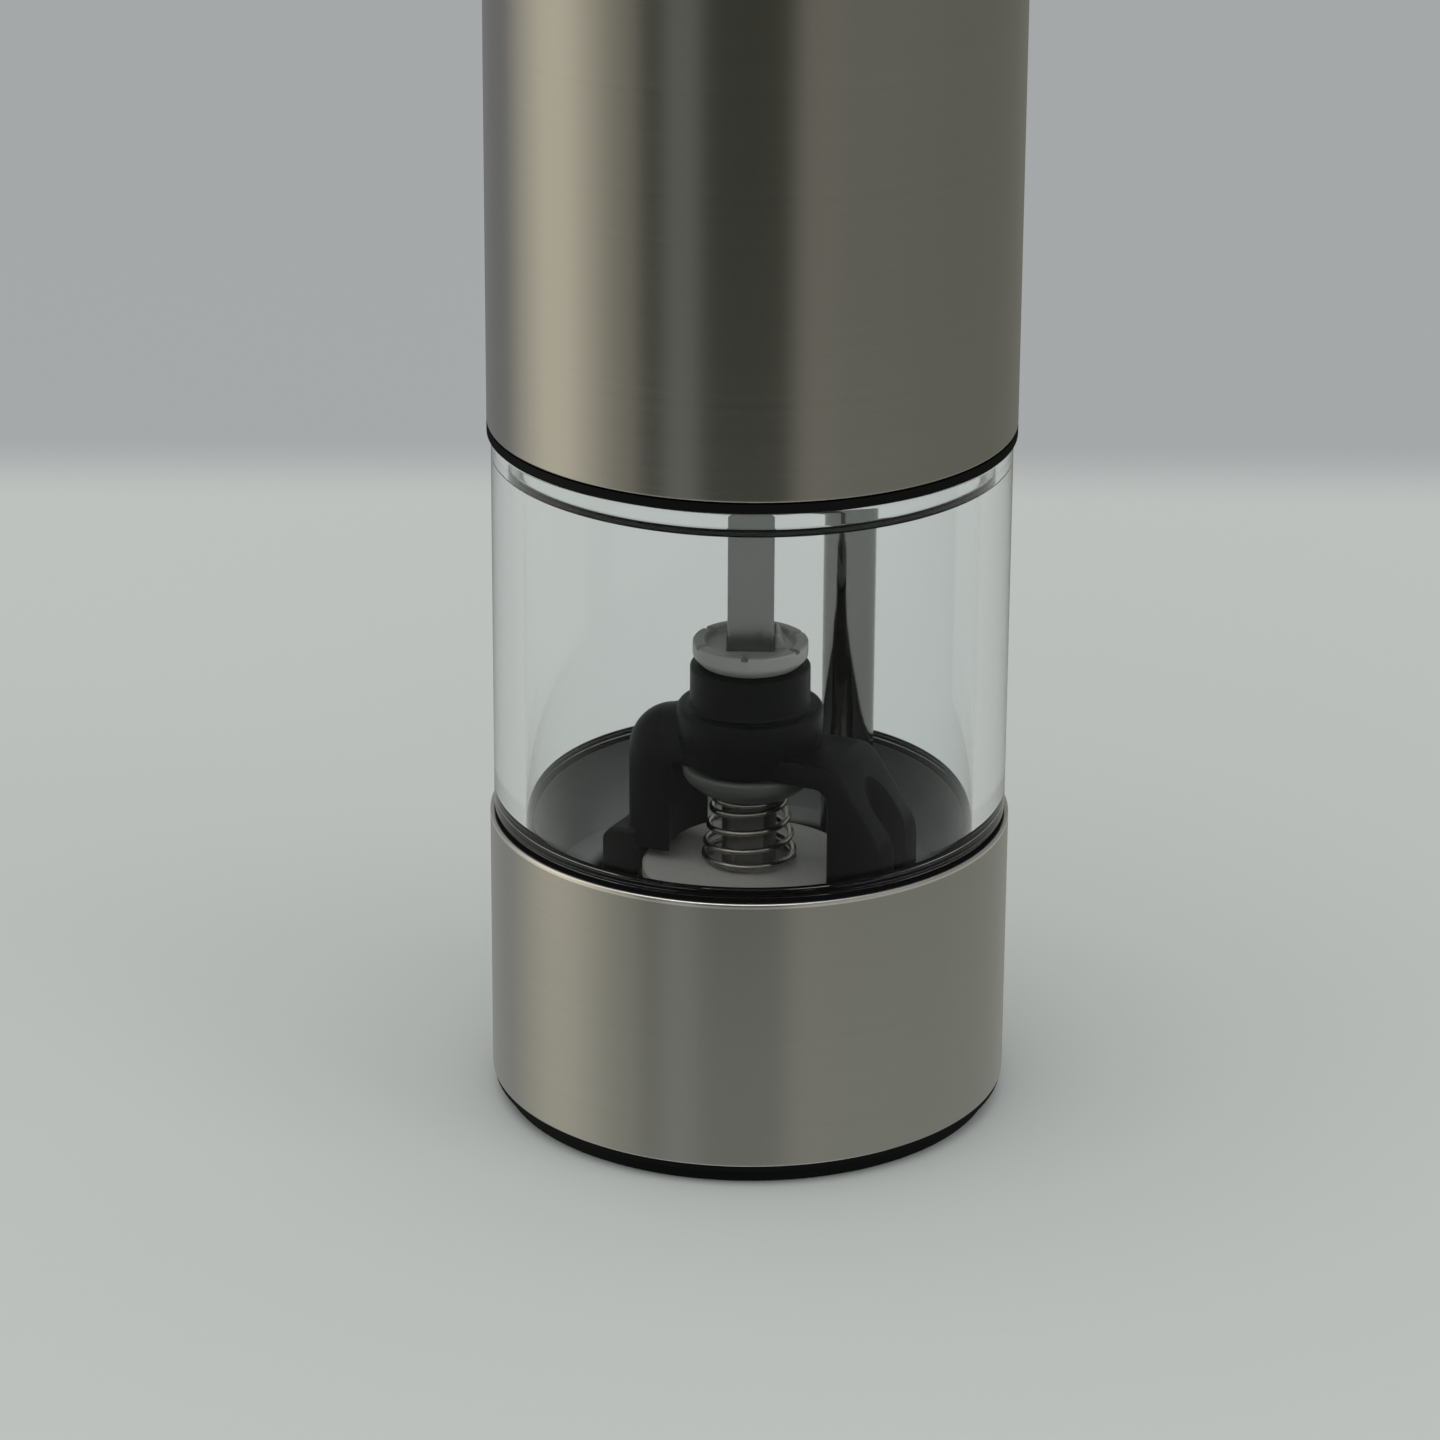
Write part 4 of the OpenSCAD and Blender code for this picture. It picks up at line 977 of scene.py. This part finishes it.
@dataclass
class SteelShell:
    """The two brushed sleeves that make the mill's outside."""

    sheet: float = 0.5
    roll: float = 0.5
    hem: float = 0.18

    def build(self) -> None:
        """Turn both sleeves, with a rolled edge where each meets black plastic."""
        base = Extent.of("base_sleeve")
        self._sleeve("base_sleeve_steel", base, Body.BASE, "base_sleeve", self.hem, self.roll)
        upper = Extent.of("upper_sleeve")
        self._sleeve("upper_sleeve_steel", upper, Body.COVER, "upper_sleeve", self.roll, self.hem)

    def _sleeve(self, name: str, size: Extent, body: Body, node: str, low: float, high: float) -> None:
        """Turn one sleeve.

        Args:
            name: the piece's name.
            size: its radius and levels.
            body: what it rides on.
            node: the CAD node it stands for.
            low: rounding of its lower outer edge.
            high: rounding of its upper outer edge.
        """
        inner = size.r - self.sheet
        section = rounded([
            (inner, size.low), (size.r, size.low, low), (size.r, size.high, high), (inner, size.high),
        ])
        fit(Bench.turn(name, section), Slot.BRUSHED, body, node)


@dataclass
class ClearJar:
    """The clear jar, and the clear plug ring over its seal in the recess of the jar's mouth."""

    wall: float = 3.1
    lip: float = 1.6
    seat: float = -0.02
    tongue_in: float = 22.6
    tongue_out: float = 23.9
    edge: float = 0.3
    inner_edge: float = 0.2
    foot_edge: float = 0.15
    fine_edge: float = 0.1
    gap: float = 0.1
    plug_wall: float = 0.6
    seal_w: float = 0.45

    def build(self) -> None:
        """Turn the jar, the plug ring and the seal."""
        jar, plug, seal = (Extent.of(node) for node in ("jar", "plug_ring", "plug_seal"))
        foot = Extent.of("hopper").high + self.seat
        inner, mouth, shelf = jar.r - self.wall, jar.r - self.lip, seal.low - self.gap
        tongue = jar.low + self.seat
        fit(Bench.turn("jar_clear", rounded([
            (inner, foot, self.inner_edge), (self.tongue_in, foot), (self.tongue_in, tongue, self.foot_edge),
            (self.tongue_out, tongue, self.foot_edge), (self.tongue_out, foot), (jar.r, foot, self.foot_edge),
            (jar.r, jar.high, self.edge), (mouth, jar.high, self.edge), (mouth, shelf, self.fine_edge),
            (inner, shelf, self.edge),
        ])), Slot.CLEAR, Body.BASE, "jar")
        skirt = plug.r - self.plug_wall
        fit(Bench.turn("plug_ring_clear", rounded([
            (skirt, plug.low, self.inner_edge), (plug.r, plug.low, self.fine_edge),
            (plug.r, plug.high), (skirt, plug.high),
        ])), Slot.CLEAR, Body.UNIT, "plug_ring")
        seal_in = seal.r - self.seal_w
        fit(Bench.turn("plug_seal_ring", rounded([
            (seal_in, seal.low, self.fine_edge), (seal.r, seal.low, self.fine_edge),
            (seal.r, seal.high, self.fine_edge), (seal_in, seal.high, self.fine_edge),
        ])), Slot.RUBBER, Body.UNIT, "plug_seal")


@dataclass
class BurrBridge:
    """The black bridge over the burrs: a sloped front arm, a round-shouldered rear arm and a stepped hub."""

    angle: float = -26.0
    arm_w: float = 9.0
    floor: float = 21.5
    over_disc: float = 25.0
    foot_in: float = 11.2
    foot_flat: float = 10.26
    front_reach: float = 16.1
    front_top: float = 36.9
    front_flat: float = 11.1
    front_wall: float = 29.6
    arch_cut: float = 0.9
    web_r: float = 7.9
    rear_reach: float = 12.9
    shoulder_z: float = 34.3
    bar_tilt: float = 20.0
    bar_step: float = 0.1
    bar_short: float = 1.0
    foot_reach: float = 14.3
    foot_top: float = 26.5
    foot_bevel: float = 1.1
    hub_low: float = 34.4
    hub_step: float = 40.5
    hub_wide: float = 7.2
    hub_taper: float = 6.2
    hub_top_r: float = 5.9
    hub_foot_edge: float = 0.5
    hub_belly: float = 1.5
    hub_shoulder: float = 0.8
    hub_edge: float = 0.4
    bore: float = 4.25
    ease: float = 0.45
    front_bend: float = 1.2
    front_knee: float = 1.6
    arch_edge: float = 0.5
    dome_steps: int = 16
    screw_at: float = 14.6
    screw_seat: float = 23.9
    screw_head: float = 2.15

    def build(self) -> None:
        """Join the arms to the turned hub, then bore it and clear the burr."""
        hub_high = Extent.of("burr_bridge").high
        middle = (self.hub_low + self.hub_step) / 2
        bridge = Bench.turn("bridge_moulding", rounded([
            (0, self.hub_low), (self.hub_taper, self.hub_low, self.hub_foot_edge),
            (self.hub_wide, middle, self.hub_belly), (self.hub_wide, self.hub_step, self.hub_shoulder),
            (self.hub_top_r, self.hub_step, self.hub_edge), (self.hub_top_r, hub_high, self.hub_edge),
            (0, hub_high),
        ], closed=False), SMALL_STEPS, closed=False)
        for arm, turn in ((self._front(), 0), (self._rear(), 180), (self._foot(), 180)):
            Bench.combine(bridge, Bench.move(arm, turn=self.angle + turn), "UNION")
        for hole in (
            Bench.drum("burr_room", self.foot_in, self.floor - OVERCUT_MM, self.over_disc),
            Bench.drum("bore", self.bore, self.hub_low - 2 * OVERCUT_MM, hub_high + 2 * OVERCUT_MM),
            self._screw_well(),
        ):
            Bench.combine(bridge, hole, "DIFFERENCE")
        fit(bridge, Slot.GLOSS_BLACK, Body.BASE, "burr_bridge")

    def _front(self) -> bpy.types.Object:
        """Front arm: flat top, long slope, and an arch over the burr."""
        return Bench.slab("front_arm", rounded([
            (0, self.front_top), (self.front_flat, self.front_top, self.front_bend),
            (self.front_reach, self.front_wall, self.front_knee),
            (self.front_reach, self.floor), (self.foot_flat, self.floor),
            (self.foot_flat, self.hub_low - self.arch_cut, self.arch_edge),
            (self.foot_flat - self.arch_cut, self.hub_low, self.arch_edge), (0, self.hub_low),
        ]), self.arm_w, self.ease)

    def _rear(self) -> bpy.types.Object:
        """Rear arm: a bar that leans into the hub, a ball shoulder, and a post down to just over the burr.

        Returns:
            The arm.
        """
        side = self.arm_w / 2
        at = self.rear_reach - side
        turns = [math.pi / 2 * step / self.dome_steps for step in range(self.dome_steps + 1)]
        dome = [(side * math.cos(turn), self.shoulder_z + side * math.sin(turn)) for turn in turns]
        post = [(0, self.over_disc), (side, self.over_disc)]
        arm = Bench.turn("rear_arm", post + dome, SMALL_STEPS, closed=False)
        bar_h = (at - self.bar_short) / math.cos(math.radians(self.bar_tilt))
        bar = Bench.drum("bar", side - self.bar_step, 0, bar_h)
        bar.rotation_euler[1] = math.radians(self.bar_tilt - 90)
        Bench.combine(arm, Bench.move(bar, z=self.shoulder_z), "UNION")
        Bench.move(arm, at)
        room = Bench.drum("washer_room", self.web_r, self.floor, self.hub_low)
        return Bench.combine(arm, room, "DIFFERENCE")

    def _foot(self) -> bpy.types.Object:
        """Rear foot, bevelled towards its arm."""
        return Bench.slab("rear_foot", [
            (self.foot_flat, self.floor), (self.foot_reach, self.floor),
            (self.foot_reach, self.foot_top - self.foot_bevel),
            (self.foot_reach - self.foot_bevel, self.foot_top), (self.foot_flat, self.foot_top),
        ], self.arm_w, self.ease)

    def _screw_well(self) -> bpy.types.Object:
        """Room for the screw's head and for the driver above it.

        Returns:
            The cutter.
        """
        across = math.radians(self.angle)
        well = Bench.drum("screw_well", self.screw_head, self.screw_seat, self.hub_step, HOLE_STEPS)
        return Bench.move(well, self.screw_at * math.cos(across), self.screw_at * math.sin(across))


@dataclass
class DriveLine:
    """Square shaft, translucent socket and thrust washer on the grinding spindle."""

    shaft_w: float = 4.5
    shaft_ease: float = 0.25
    clearance: float = 0.1
    journal_r: float = 2.2
    square_top: float = 68.4
    stem_r: float = 4.2
    flange_low: float = 44.8
    flange_high: float = 47.1
    flange_r: float = 5.65
    flange_rise: float = 0.8
    flange_edge: float = 0.25
    under_r: float = 4.9
    under_edge: float = 0.3
    fine_edge: float = 0.2
    dish_r: float = 4.5
    dish: float = 0.45
    dish_slope: float = 0.3
    notch_w: float = 0.7
    notch_h: float = 0.35
    notches: int = 3
    notch_turn: float = 0.4
    ear_w: float = 3.0
    ear_foot: float = 1.1
    ear_tip: float = 0.35
    ear_gap: float = 0.03
    ear_sink: float = 0.1
    ear_edge: float = 0.12
    hole_h: float = 60.0
    hole_room: float = 0.5
    rod_r: float = 2.75
    rod_room: float = 0.1
    washer_bore: float = 2.75
    washer_foot: float = 2.0
    washer_rise: float = 1.7
    washer_bend: float = 0.9
    washer_belly: float = 1.2
    washer_edge: float = 0.3

    def build(self) -> None:
        """Make the shaft, the socket and the washer."""
        self._shaft()
        self._socket()
        washer = Extent.of("thrust_washer")
        fit(Bench.turn("thrust_washer_ring", rounded([
            (self.washer_bore, washer.low), (washer.r - self.washer_foot, washer.low, self.washer_bend),
            (washer.r, washer.low + self.washer_rise, self.washer_belly),
            (washer.r, washer.high, self.washer_edge), (self.washer_bore, washer.high),
        ]), SMALL_STEPS), Slot.GREY, Body.SPINDLE, "thrust_washer")

    def _shaft(self) -> None:
        """Square bar with a round journal."""
        shaft = Extent.of("drive_shaft")
        height = self.square_top - shaft.low
        size = (self.shaft_w, self.shaft_w, height)
        bar = Bench.block("drive_shaft_bar", size, (0, 0, shaft.low + height / 2))
        Bench.ease(bar, self.shaft_ease)
        root = self.square_top - 2 * OVERCUT_MM
        journal = Bench.drum("journal", self.journal_r, root, shaft.high, JOURNAL_STEPS)
        fit(Bench.combine(bar, journal, "UNION"), Slot.SATIN, Body.OUTPUT, "drive_shaft")

    def _socket(self) -> None:
        """Dished, notched socket head on a stem, with a guide ear beside the shaft."""
        stem_low = Extent.of("thrust_washer").high
        dish_floor = self.flange_high - self.dish
        socket = Bench.turn("drive_socket_cup", rounded([
            (0, stem_low), (self.stem_r, stem_low, self.fine_edge), (self.stem_r, self.flange_low),
            (self.under_r, self.flange_low, self.fine_edge),
            (self.flange_r, self.flange_low + self.flange_rise, self.under_edge),
            (self.flange_r, self.flange_high, self.flange_edge),
            (self.dish_r, self.flange_high, self.fine_edge),
            (self.dish_r - self.dish_slope, dish_floor), (0, dish_floor),
        ], closed=False), SMALL_STEPS, closed=False)
        side = self.shaft_w / 2 + self.clearance
        hole_low = Extent.of("drive_shaft").low - self.hole_room
        rod_high = Extent.of("spindle_rod").high + self.rod_room
        hole = Bench.block("hole", (2 * side, 2 * side, self.hole_h), (0, 0, hole_low + self.hole_h / 2))
        Bench.combine(socket, hole, "DIFFERENCE")
        rod = Bench.drum("rod", self.rod_r, stem_low - OVERCUT_MM, rod_high, HOLE_STEPS)
        Bench.combine(socket, rod, "DIFFERENCE")
        for index in range(self.notches):
            size = (4 * self.flange_r, self.notch_w, 2 * self.notch_h)
            notch = Bench.block("notch", size, (0, 0, self.flange_high))
            Bench.move(notch, turn=180 / self.notches * (index + self.notch_turn))
            Bench.combine(socket, notch, "DIFFERENCE")
        near, low, tip = side + self.ear_gap, dish_floor - self.ear_sink, Extent.of("drive_socket").high
        ear = Bench.slab("ear", [
            (near, low), (side + self.ear_foot, low), (side + self.ear_tip, tip), (near, tip),
        ], self.ear_w, self.ear_edge)
        fit(Bench.combine(socket, ear, "UNION"), Slot.NYLON, Body.SPINDLE, "drive_socket")


@dataclass
class LampTube:
    """Polished tube that carries the lamp's wires up through the jar."""

    r: float = 2.75
    bore: float = 2.25
    edge: float = 0.2

    def build(self) -> None:
        """Turn the tube and stand it in its place."""
        low, high = (Vector(corner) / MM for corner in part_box("conduit_tube"))
        middle = (low + high) / 2
        tube = Bench.turn("lamp_tube", rounded([
            (self.bore, low.z), (self.r, low.z), (self.r, high.z, self.edge), (self.bore, high.z, self.edge),
        ]), SMALL_STEPS)
        fit(Bench.move(tube, middle.x, middle.y), Slot.POLISHED, Body.BASE, "conduit_tube")


@dataclass(frozen=True)
class CellSpot:
    """Where one cell stands."""

    number: int
    x: float
    y: float
    is_upside_down: bool


@dataclass(frozen=True)
class CellBay:
    """The square of cells in the holder, every other one upside down, with a spring at its flat end."""

    count: int = 4
    at: float = 7.9
    spring_h: float = 5.2

    def spots(self) -> Iterator[CellSpot]:
        """Each cell's place, from the first quarter on."""
        reach = self.at * math.sqrt(2)
        for index in range(self.count):
            angle = math.radians(45 + 90 * index)
            yield CellSpot(index + 1, reach * math.cos(angle), reach * math.sin(angle), index % 2 == 1)


@dataclass
class Springs:
    """All wound springs, each with closed ends."""

    burr_wire: float = 0.65
    burr_low_r: float = 4.4
    burr_high_r: float = 3.5
    burr_curls: int = 3
    cell_wire: float = 0.7
    cell_wide_r: float = 4.8
    cell_tight_r: float = 3.6
    cell_curls: int = 2
    button_wire: float = 0.7
    button_r: float = 6.2
    button_curls: int = 2
    button_travel: float = 2.5
    coil_edge: float = 60.0

    def build(self) -> None:
        """Wind the burr, button and cell springs."""
        burr = Extent.of("burr_spring")
        coil = Bench.coil("burr_spring_coil", self.burr_wire, burr.low, burr.high,
                          self.burr_low_r, self.burr_high_r, self.burr_curls)
        fit(coil, Slot.SPRING, None, "burr_spring", angle=self.coil_edge)
        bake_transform(coil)
        button = Extent.of("button_spring")
        coil = Bench.coil("button_spring_coil", self.button_wire, button.low, button.high,
                          self.button_r, self.button_r, self.button_curls)
        fit(coil, Slot.SPRING, Body.COVER, "button_spring", angle=self.coil_edge)
        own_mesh(coil)
        self._cell_springs()

    def _cell_springs(self) -> None:
        """One spring at the flat end of each cell, at the bottom and at the top in turn."""
        cells = Extent.of("cell_springs")
        bay = CellBay()
        for spot in bay.spots():
            ends, radii = (cells.low, cells.low + bay.spring_h), (self.cell_wide_r, self.cell_tight_r)
            if spot.is_upside_down:
                ends, radii = (cells.high - bay.spring_h, cells.high), radii[::-1]
            name = f"cell_spring_coil_{spot.number}"
            coil = Bench.coil(name, self.cell_wire, *ends, *radii, self.cell_curls)
            Bench.move(coil, spot.x, spot.y)
            fit(coil, Slot.SPRING, Body.UNIT, "cell_springs", angle=self.coil_edge)


@dataclass
class TopEnd:
    """Black cap with the button that starts the mill."""

    skirt_r: float = 24.85
    skirt_wall: float = 1.6
    cap_low: float = 211.6
    floor_high: float = 213.6
    stem_hole: float = 4.1
    well_r: float = 16.0
    shoulder: float = 2.6
    lip: float = 0.6
    well_edge: float = 0.4
    skirt_edge: float = 0.3
    seat_edge: float = 0.15
    cap_steps: int = 8
    button_r: float = 15.8
    button_wall: float = 1.6
    button_skirt: float = 216.4
    button_under: float = 218.8
    button_edge: float = 1.1
    button_drop: float = 0.1
    button_steps: int = 6
    stem_r: float = 4.0
    clip_low: float = 210.4
    clip_high: float = 211.55
    clip_bite: float = 0.5
    dish_r: float = 9.0
    dish: float = 0.35
    dish_rim: float = 3.0
    dish_start: float = 0.02
    dish_share: float = 0.5
    dish_bend: float = 2.0
    dish_lip: float = 1.5

    def build(self) -> None:
        """Turn the cap and the button."""
        self._cap()
        self._button()

    def _cap(self) -> None:
        """Cap with a skirt inside the sleeve and a well for the button."""
        cap = Extent.of("top_cap")
        skirt_in = self.skirt_r - self.skirt_wall
        fit(Bench.turn("top_cap_moulding", rounded([
            (self.stem_hole, self.cap_low), (skirt_in, self.cap_low), (skirt_in, cap.low),
            (self.skirt_r, cap.low, self.skirt_edge), (self.skirt_r, self.cap_low),
            (cap.r, self.cap_low, self.seat_edge), (cap.r, cap.high, self.shoulder),
            (self.well_r, cap.high, self.lip), (self.well_r, self.floor_high, self.well_edge),
            (self.stem_hole, self.floor_high),
        ], steps=self.cap_steps)), Slot.BLACK, Body.COVER, "top_cap")

    def _button(self) -> None:
        """Hollow button with a dished top, on a stem with a groove for its clip."""
        button = Extent.of("push_button")
        neck, inner = self.stem_r - self.clip_bite, self.button_r - self.button_wall
        dish_floor = button.high - self.dish
        section = rounded([
            (0, button.low), (self.stem_r, button.low, self.skirt_edge), (self.stem_r, self.clip_low),
            (neck, self.clip_low), (neck, self.clip_high), (self.stem_r, self.clip_high),
            (self.stem_r, self.button_under), (inner, self.button_under, self.well_edge),
            (inner, self.button_skirt), (self.button_r, self.button_skirt),
            (self.button_r, button.high - self.button_edge - self.button_drop, self.button_edge),
            (self.dish_r + self.dish_rim, button.high, self.dish_bend),
            (self.dish_r, button.high - self.dish_start, self.dish_lip),
            (self.dish_r * self.dish_share, dish_floor, self.dish_bend), (0, dish_floor),
        ], closed=False, steps=self.button_steps)
        turned = Bench.turn("button_moulding", section, closed=False)
        fit(turned, Slot.GLOSS_BLACK, Body.BUTTON, "push_button")


@dataclass
class Cells:
    """Four film-wrapped cells, every other one upside down."""

    r: float = 7.15
    shoulder: float = 0.9
    base_in: float = 1.2
    base_rise: float = 0.2
    film_lip: float = 5.6
    film_edge: float = 0.2
    film_h: float = 0.3
    nipple_r: float = 2.7
    nipple_h: float = 1.3
    nipple_edge: float = 0.5

    def build(self) -> None:
        """Turn one cell, copy it, and stand the copies in the holder."""
        bay = CellBay()
        stack = Extent.of("battery_cells")
        height = stack.high - stack.low - bay.spring_h
        can = height - self.nipple_h
        face = can - self.film_h
        first = Bench.turn("cell_1", rounded([
            (0, 0), (self.r - self.base_in, 0), (self.r, self.base_rise, self.shoulder),
            (self.r, can, self.shoulder), (self.film_lip, can, self.film_edge), (self.film_lip, face),
            (self.nipple_r, face), (self.nipple_r, height, self.nipple_edge), (0, height),
        ], closed=False), SMALL_STEPS, closed=False)
        cells = [first] + [Bench.copy(first, f"cell_{number}") for number in range(2, bay.count + 1)]
        for cell, spot in zip(cells, bay.spots()):
            rise = bay.spring_h
            if spot.is_upside_down:
                Bench.pick(cell)
                cell.rotation_euler[0] = math.pi
                bpy.ops.object.transform_apply(location=True, rotation=True, scale=True)
                rise = height
            Bench.move(cell, spot.x, spot.y, stack.low + rise)
            fit(cell, Slot.CELL, Body.UNIT, "battery_cells")


class CadFinish:
    """Finishes for the CAD nodes that stay in sight."""

    def dress(self) -> None:
        """Give each CAD node the finish of its material slot."""
        by_name = {slot.value: slot for slot in Slot}
        for part in frame["record"]["subparts"]:
            node = frame["nodes"].get(part["node"])
            if node is None or node.type != "MESH":
                continue
            material = FINISHES[by_name[part["material_slot"]]].material()
            for holder in node.material_slots:
                holder.material = material
            LOG.info("%s: %s", part["node"], material.name)


@dataclass(frozen=True)
class PhotoCamera:
    """The photograph's view, from fitted circles of the mill."""

    lens: float = 137.83
    place: Spot = (0.0, -503.13, 234.90)
    pitch: float = 21.357
    yaw: float = -0.3342
    roll: float = 0.3239
    sensor: float = 36.0
    near: float = 0.01
    far: float = 100.0

    def build(self) -> None:
        """Set the scene's camera."""
        pitch, yaw, roll = (math.radians(turn) for turn in (self.pitch, self.yaw, self.roll))
        ahead = Vector((math.sin(yaw) * math.cos(pitch), math.cos(yaw) * math.cos(pitch), -math.sin(pitch)))
        level = Vector((math.cos(yaw), -math.sin(yaw), 0))
        rise = level.cross(ahead)
        right = math.cos(roll) * level + math.sin(roll) * rise
        up = -math.sin(roll) * level + math.cos(roll) * rise
        data = bpy.data.cameras.new("photo_camera")
        data.lens = self.lens
        data.sensor_width = self.sensor
        data.clip_start = self.near
        data.clip_end = self.far
        made = bpy.data.objects.new("photo_camera", data)
        bpy.context.scene.collection.objects.link(made)
        turned = Matrix((right, up, -ahead)).transposed().to_4x4()
        made.matrix_world = Matrix.Translation(Vector(self.place) * MM) @ turned
        bpy.context.scene.camera = made


@dataclass(frozen=True)
class Softbox:
    """A square area lamp aimed at the mill."""

    name: str
    place: Spot
    size: float
    power: float
    colour: Colour = (1, 1, 1)

    def build(self, target: Vector) -> None:
        """Hang the lamp, unseen by the camera.

        Args:
            target: the spot that the lamp faces, in metres.
        """
        data = bpy.data.lights.new(self.name, "AREA")
        data.shape = "SQUARE"
        data.size = self.size
        data.energy = self.power
        data.color = self.colour
        made = bpy.data.objects.new(self.name, data)
        bpy.context.scene.collection.objects.link(made)
        made.location = self.place
        made.rotation_euler = (target - made.location).to_track_quat("-Z", "Y").to_euler()
        made.visible_camera = False


@dataclass(frozen=True)
class Card:
    """A stretch of the glowing ring around the mill, in degrees from the camera's side, that only gloss
    shows: a painted reflection of the surroundings.
    """

    start: float
    end: float
    colour: Colour


@dataclass
class Studio:
    """Pale floor, soft lamps, and a glowing ring, seen only in gloss, that paints the reflections of grey
    surroundings in the steel.
    """

    floor_size: float = 8.0
    floor_z: float = -0.0001
    floor_rough: float = 0.55
    floor_drift: float = 0.1
    drift_scale: float = 9.0
    floor_near: Colour = (0.50, 0.517, 0.495)
    floor_far: Colour = (0.375, 0.38, 0.382)
    fade_from: float = 0.174
    fade_to: float = 0.202
    sky: Colour = (0.95, 0.98, 1.0)
    sky_strength: float = 0.84
    backdrop: Colour = (0.42, 0.44, 0.43)
    ring_r: float = 0.20
    ring_low: float = -0.35
    ring_high: float = 0.45
    ring_under: Colour = (0.405, 0.41, 0.38)
    ring_under_share: float = 0.58
    ring_fade: float = -0.05
    cards: tuple[Card, ...] = (
        Card(-180, -124, (0.222, 0.222, 0.226)),
        Card(-94, -82, (0.81, 0.745, 0.61)),
        Card(-56, -50, (0.28, 0.26, 0.22)),
        Card(-43, -38.5, (0.065, 0.062, 0.053)),
        Card(-33, -24, (0.19, 0.19, 0.175)),
        Card(-18, 12.5, (0.057, 0.057, 0.045)),
        Card(20, 28, (0.235, 0.22, 0.19)),
        Card(45, 180, (0.20, 0.197, 0.172)),
    )
    aim: Spot = (0, 0, 0.06)
    lamps: tuple[Softbox, ...] = (
        Softbox("lamp_high", (-0.45, -0.45, 1.6), 1.8, 8.5, (1.0, 0.985, 0.96)),
        Softbox("lamp_right", (1.2, -0.6, 0.9), 0.9, 3.0),
    )

    def build(self) -> None:
        """Set up the stage."""
        bpy.context.scene.view_settings.view_transform = "Standard"
        self._floor()
        self._ring()
        self._world()
        for lamp in self.lamps:
            lamp.build(Vector(self.aim))
        PhotoCamera().build()

    def _stage_mesh(self, piece: bpy.types.Object, name: str) -> tuple[bpy.types.Object, NodeSheet]:
        """Name a stage object and give it an empty material.

        Args:
            piece: the new stage object.
            name: its name.

        Returns:
            The object, and its material's empty node sheet.
        """
        piece.name = piece.data.name = name
        material = bpy.data.materials.new(name + "_finish")
        material.use_nodes = True
        piece.data.materials.append(material)
        return piece, NodeSheet(material.node_tree)

    def _floor(self) -> None:
        """One wide floor that grows a little darker behind the mill."""
        Bench.clear()
        bpy.ops.mesh.primitive_plane_add(size=self.floor_size, location=(0, 0, self.floor_z))
        floor, sheet = self._stage_mesh(bpy.context.object, "floor")
        floor.visible_glossy = False
        away = sheet.smooth_step(sheet.axis("Y"), self.fade_from, self.fade_to)
        drift = sheet.noise((self.drift_scale,) * 3, detail=3.0)
        tint = sheet.mix(away, self.floor_near, self.floor_far)
        surface = sheet.node("ShaderNodeBsdfPrincipled", {}, {
            "Base Color": tint, "Roughness": self.floor_rough + drift * self.floor_drift,
            "Specular IOR Level": 0.0})
        sheet.node("ShaderNodeOutputMaterial", {}, {"Surface": surface})

    def _ring(self) -> None:
        """A glowing ring that only gloss shows, in soft grey bands: painted reflections of the surroundings,
        and under the floor's level a painted reflection of the floor's tone.
        """
        Bench.clear()
        bpy.ops.mesh.primitive_cylinder_add(
            vertices=SMALL_STEPS, radius=self.ring_r, depth=self.ring_high - self.ring_low,
            end_fill_type="NOTHING", location=(0, 0, (self.ring_high + self.ring_low) / 2))
        bpy.ops.object.transform_apply(location=True, rotation=True, scale=True)
        ring, sheet = self._stage_mesh(bpy.context.object, "card_ring")
        front = -1 * sheet.axis("Y")
        bearing = sheet.node("ShaderNodeMath", {"operation": "ARCTAN2"}, {0: sheet.axis("X"), 1: front})
        # Each card is a glowing band of the ring, a painted reflection for the steel and glass
        stops = [(turn / 360 + 0.5, card.colour) for card in self.cards for turn in (card.start, card.end)]
        bands = sheet.node("ShaderNodeValToRGB", {"stops": stops}, {0: bearing / FULL_TURN + 0.5})
        # Under the floor's level the ring glows in the floor's tone, a painted reflection of the floor, which
        # gloss does not see
        under = sheet.smooth_step(sheet.axis("Z"), self.ring_fade, 0.0, self.ring_under_share, 0.0)
        shade = sheet.mix(under, bands, self.ring_under)
        glow = sheet.node("ShaderNodeEmission", {}, {"Color": shade, "Strength": 1.0})
        sheet.node("ShaderNodeOutputMaterial", {}, {"Surface": glow})
        ring.visible_camera = ring.visible_diffuse = False
        ring.visible_shadow = ring.visible_transmission = False

    def _world(self) -> None:
        """Even soft light from all sides, with the backdrop's tone behind clear pieces."""
        world = bpy.data.worlds.new("soft_room")
        world.use_nodes = True
        bpy.context.scene.world = world
        sheet = NodeSheet(world.node_tree)
        glow = sheet.node("ShaderNodeBackground", {}, {
            "Color": (*self.sky, 1), "Strength": self.sky_strength})
        plain = sheet.node("ShaderNodeBackground", {}, {"Color": (*self.backdrop, 1), "Strength": 1.0})
        through = sheet.node("ShaderNodeLightPath", output="Is Transmission Ray")
        seen = sheet.node("ShaderNodeMixShader", {}, {0: through, 1: glow, 2: plain})
        sheet.node("ShaderNodeOutputWorld", {}, {"Surface": seen})


def main() -> None:
    """Build the mill's looks and its stage."""
    logging.basicConfig(level=logging.INFO, format="%(message)s")
    CadFinish().dress()
    assemblies = (SteelShell, ClearJar, BurrBridge, DriveLine, LampTube, Springs, TopEnd, Cells, Studio)
    for assembly in assemblies:
        assembly().build()


if __name__ == "__main__":
    main()
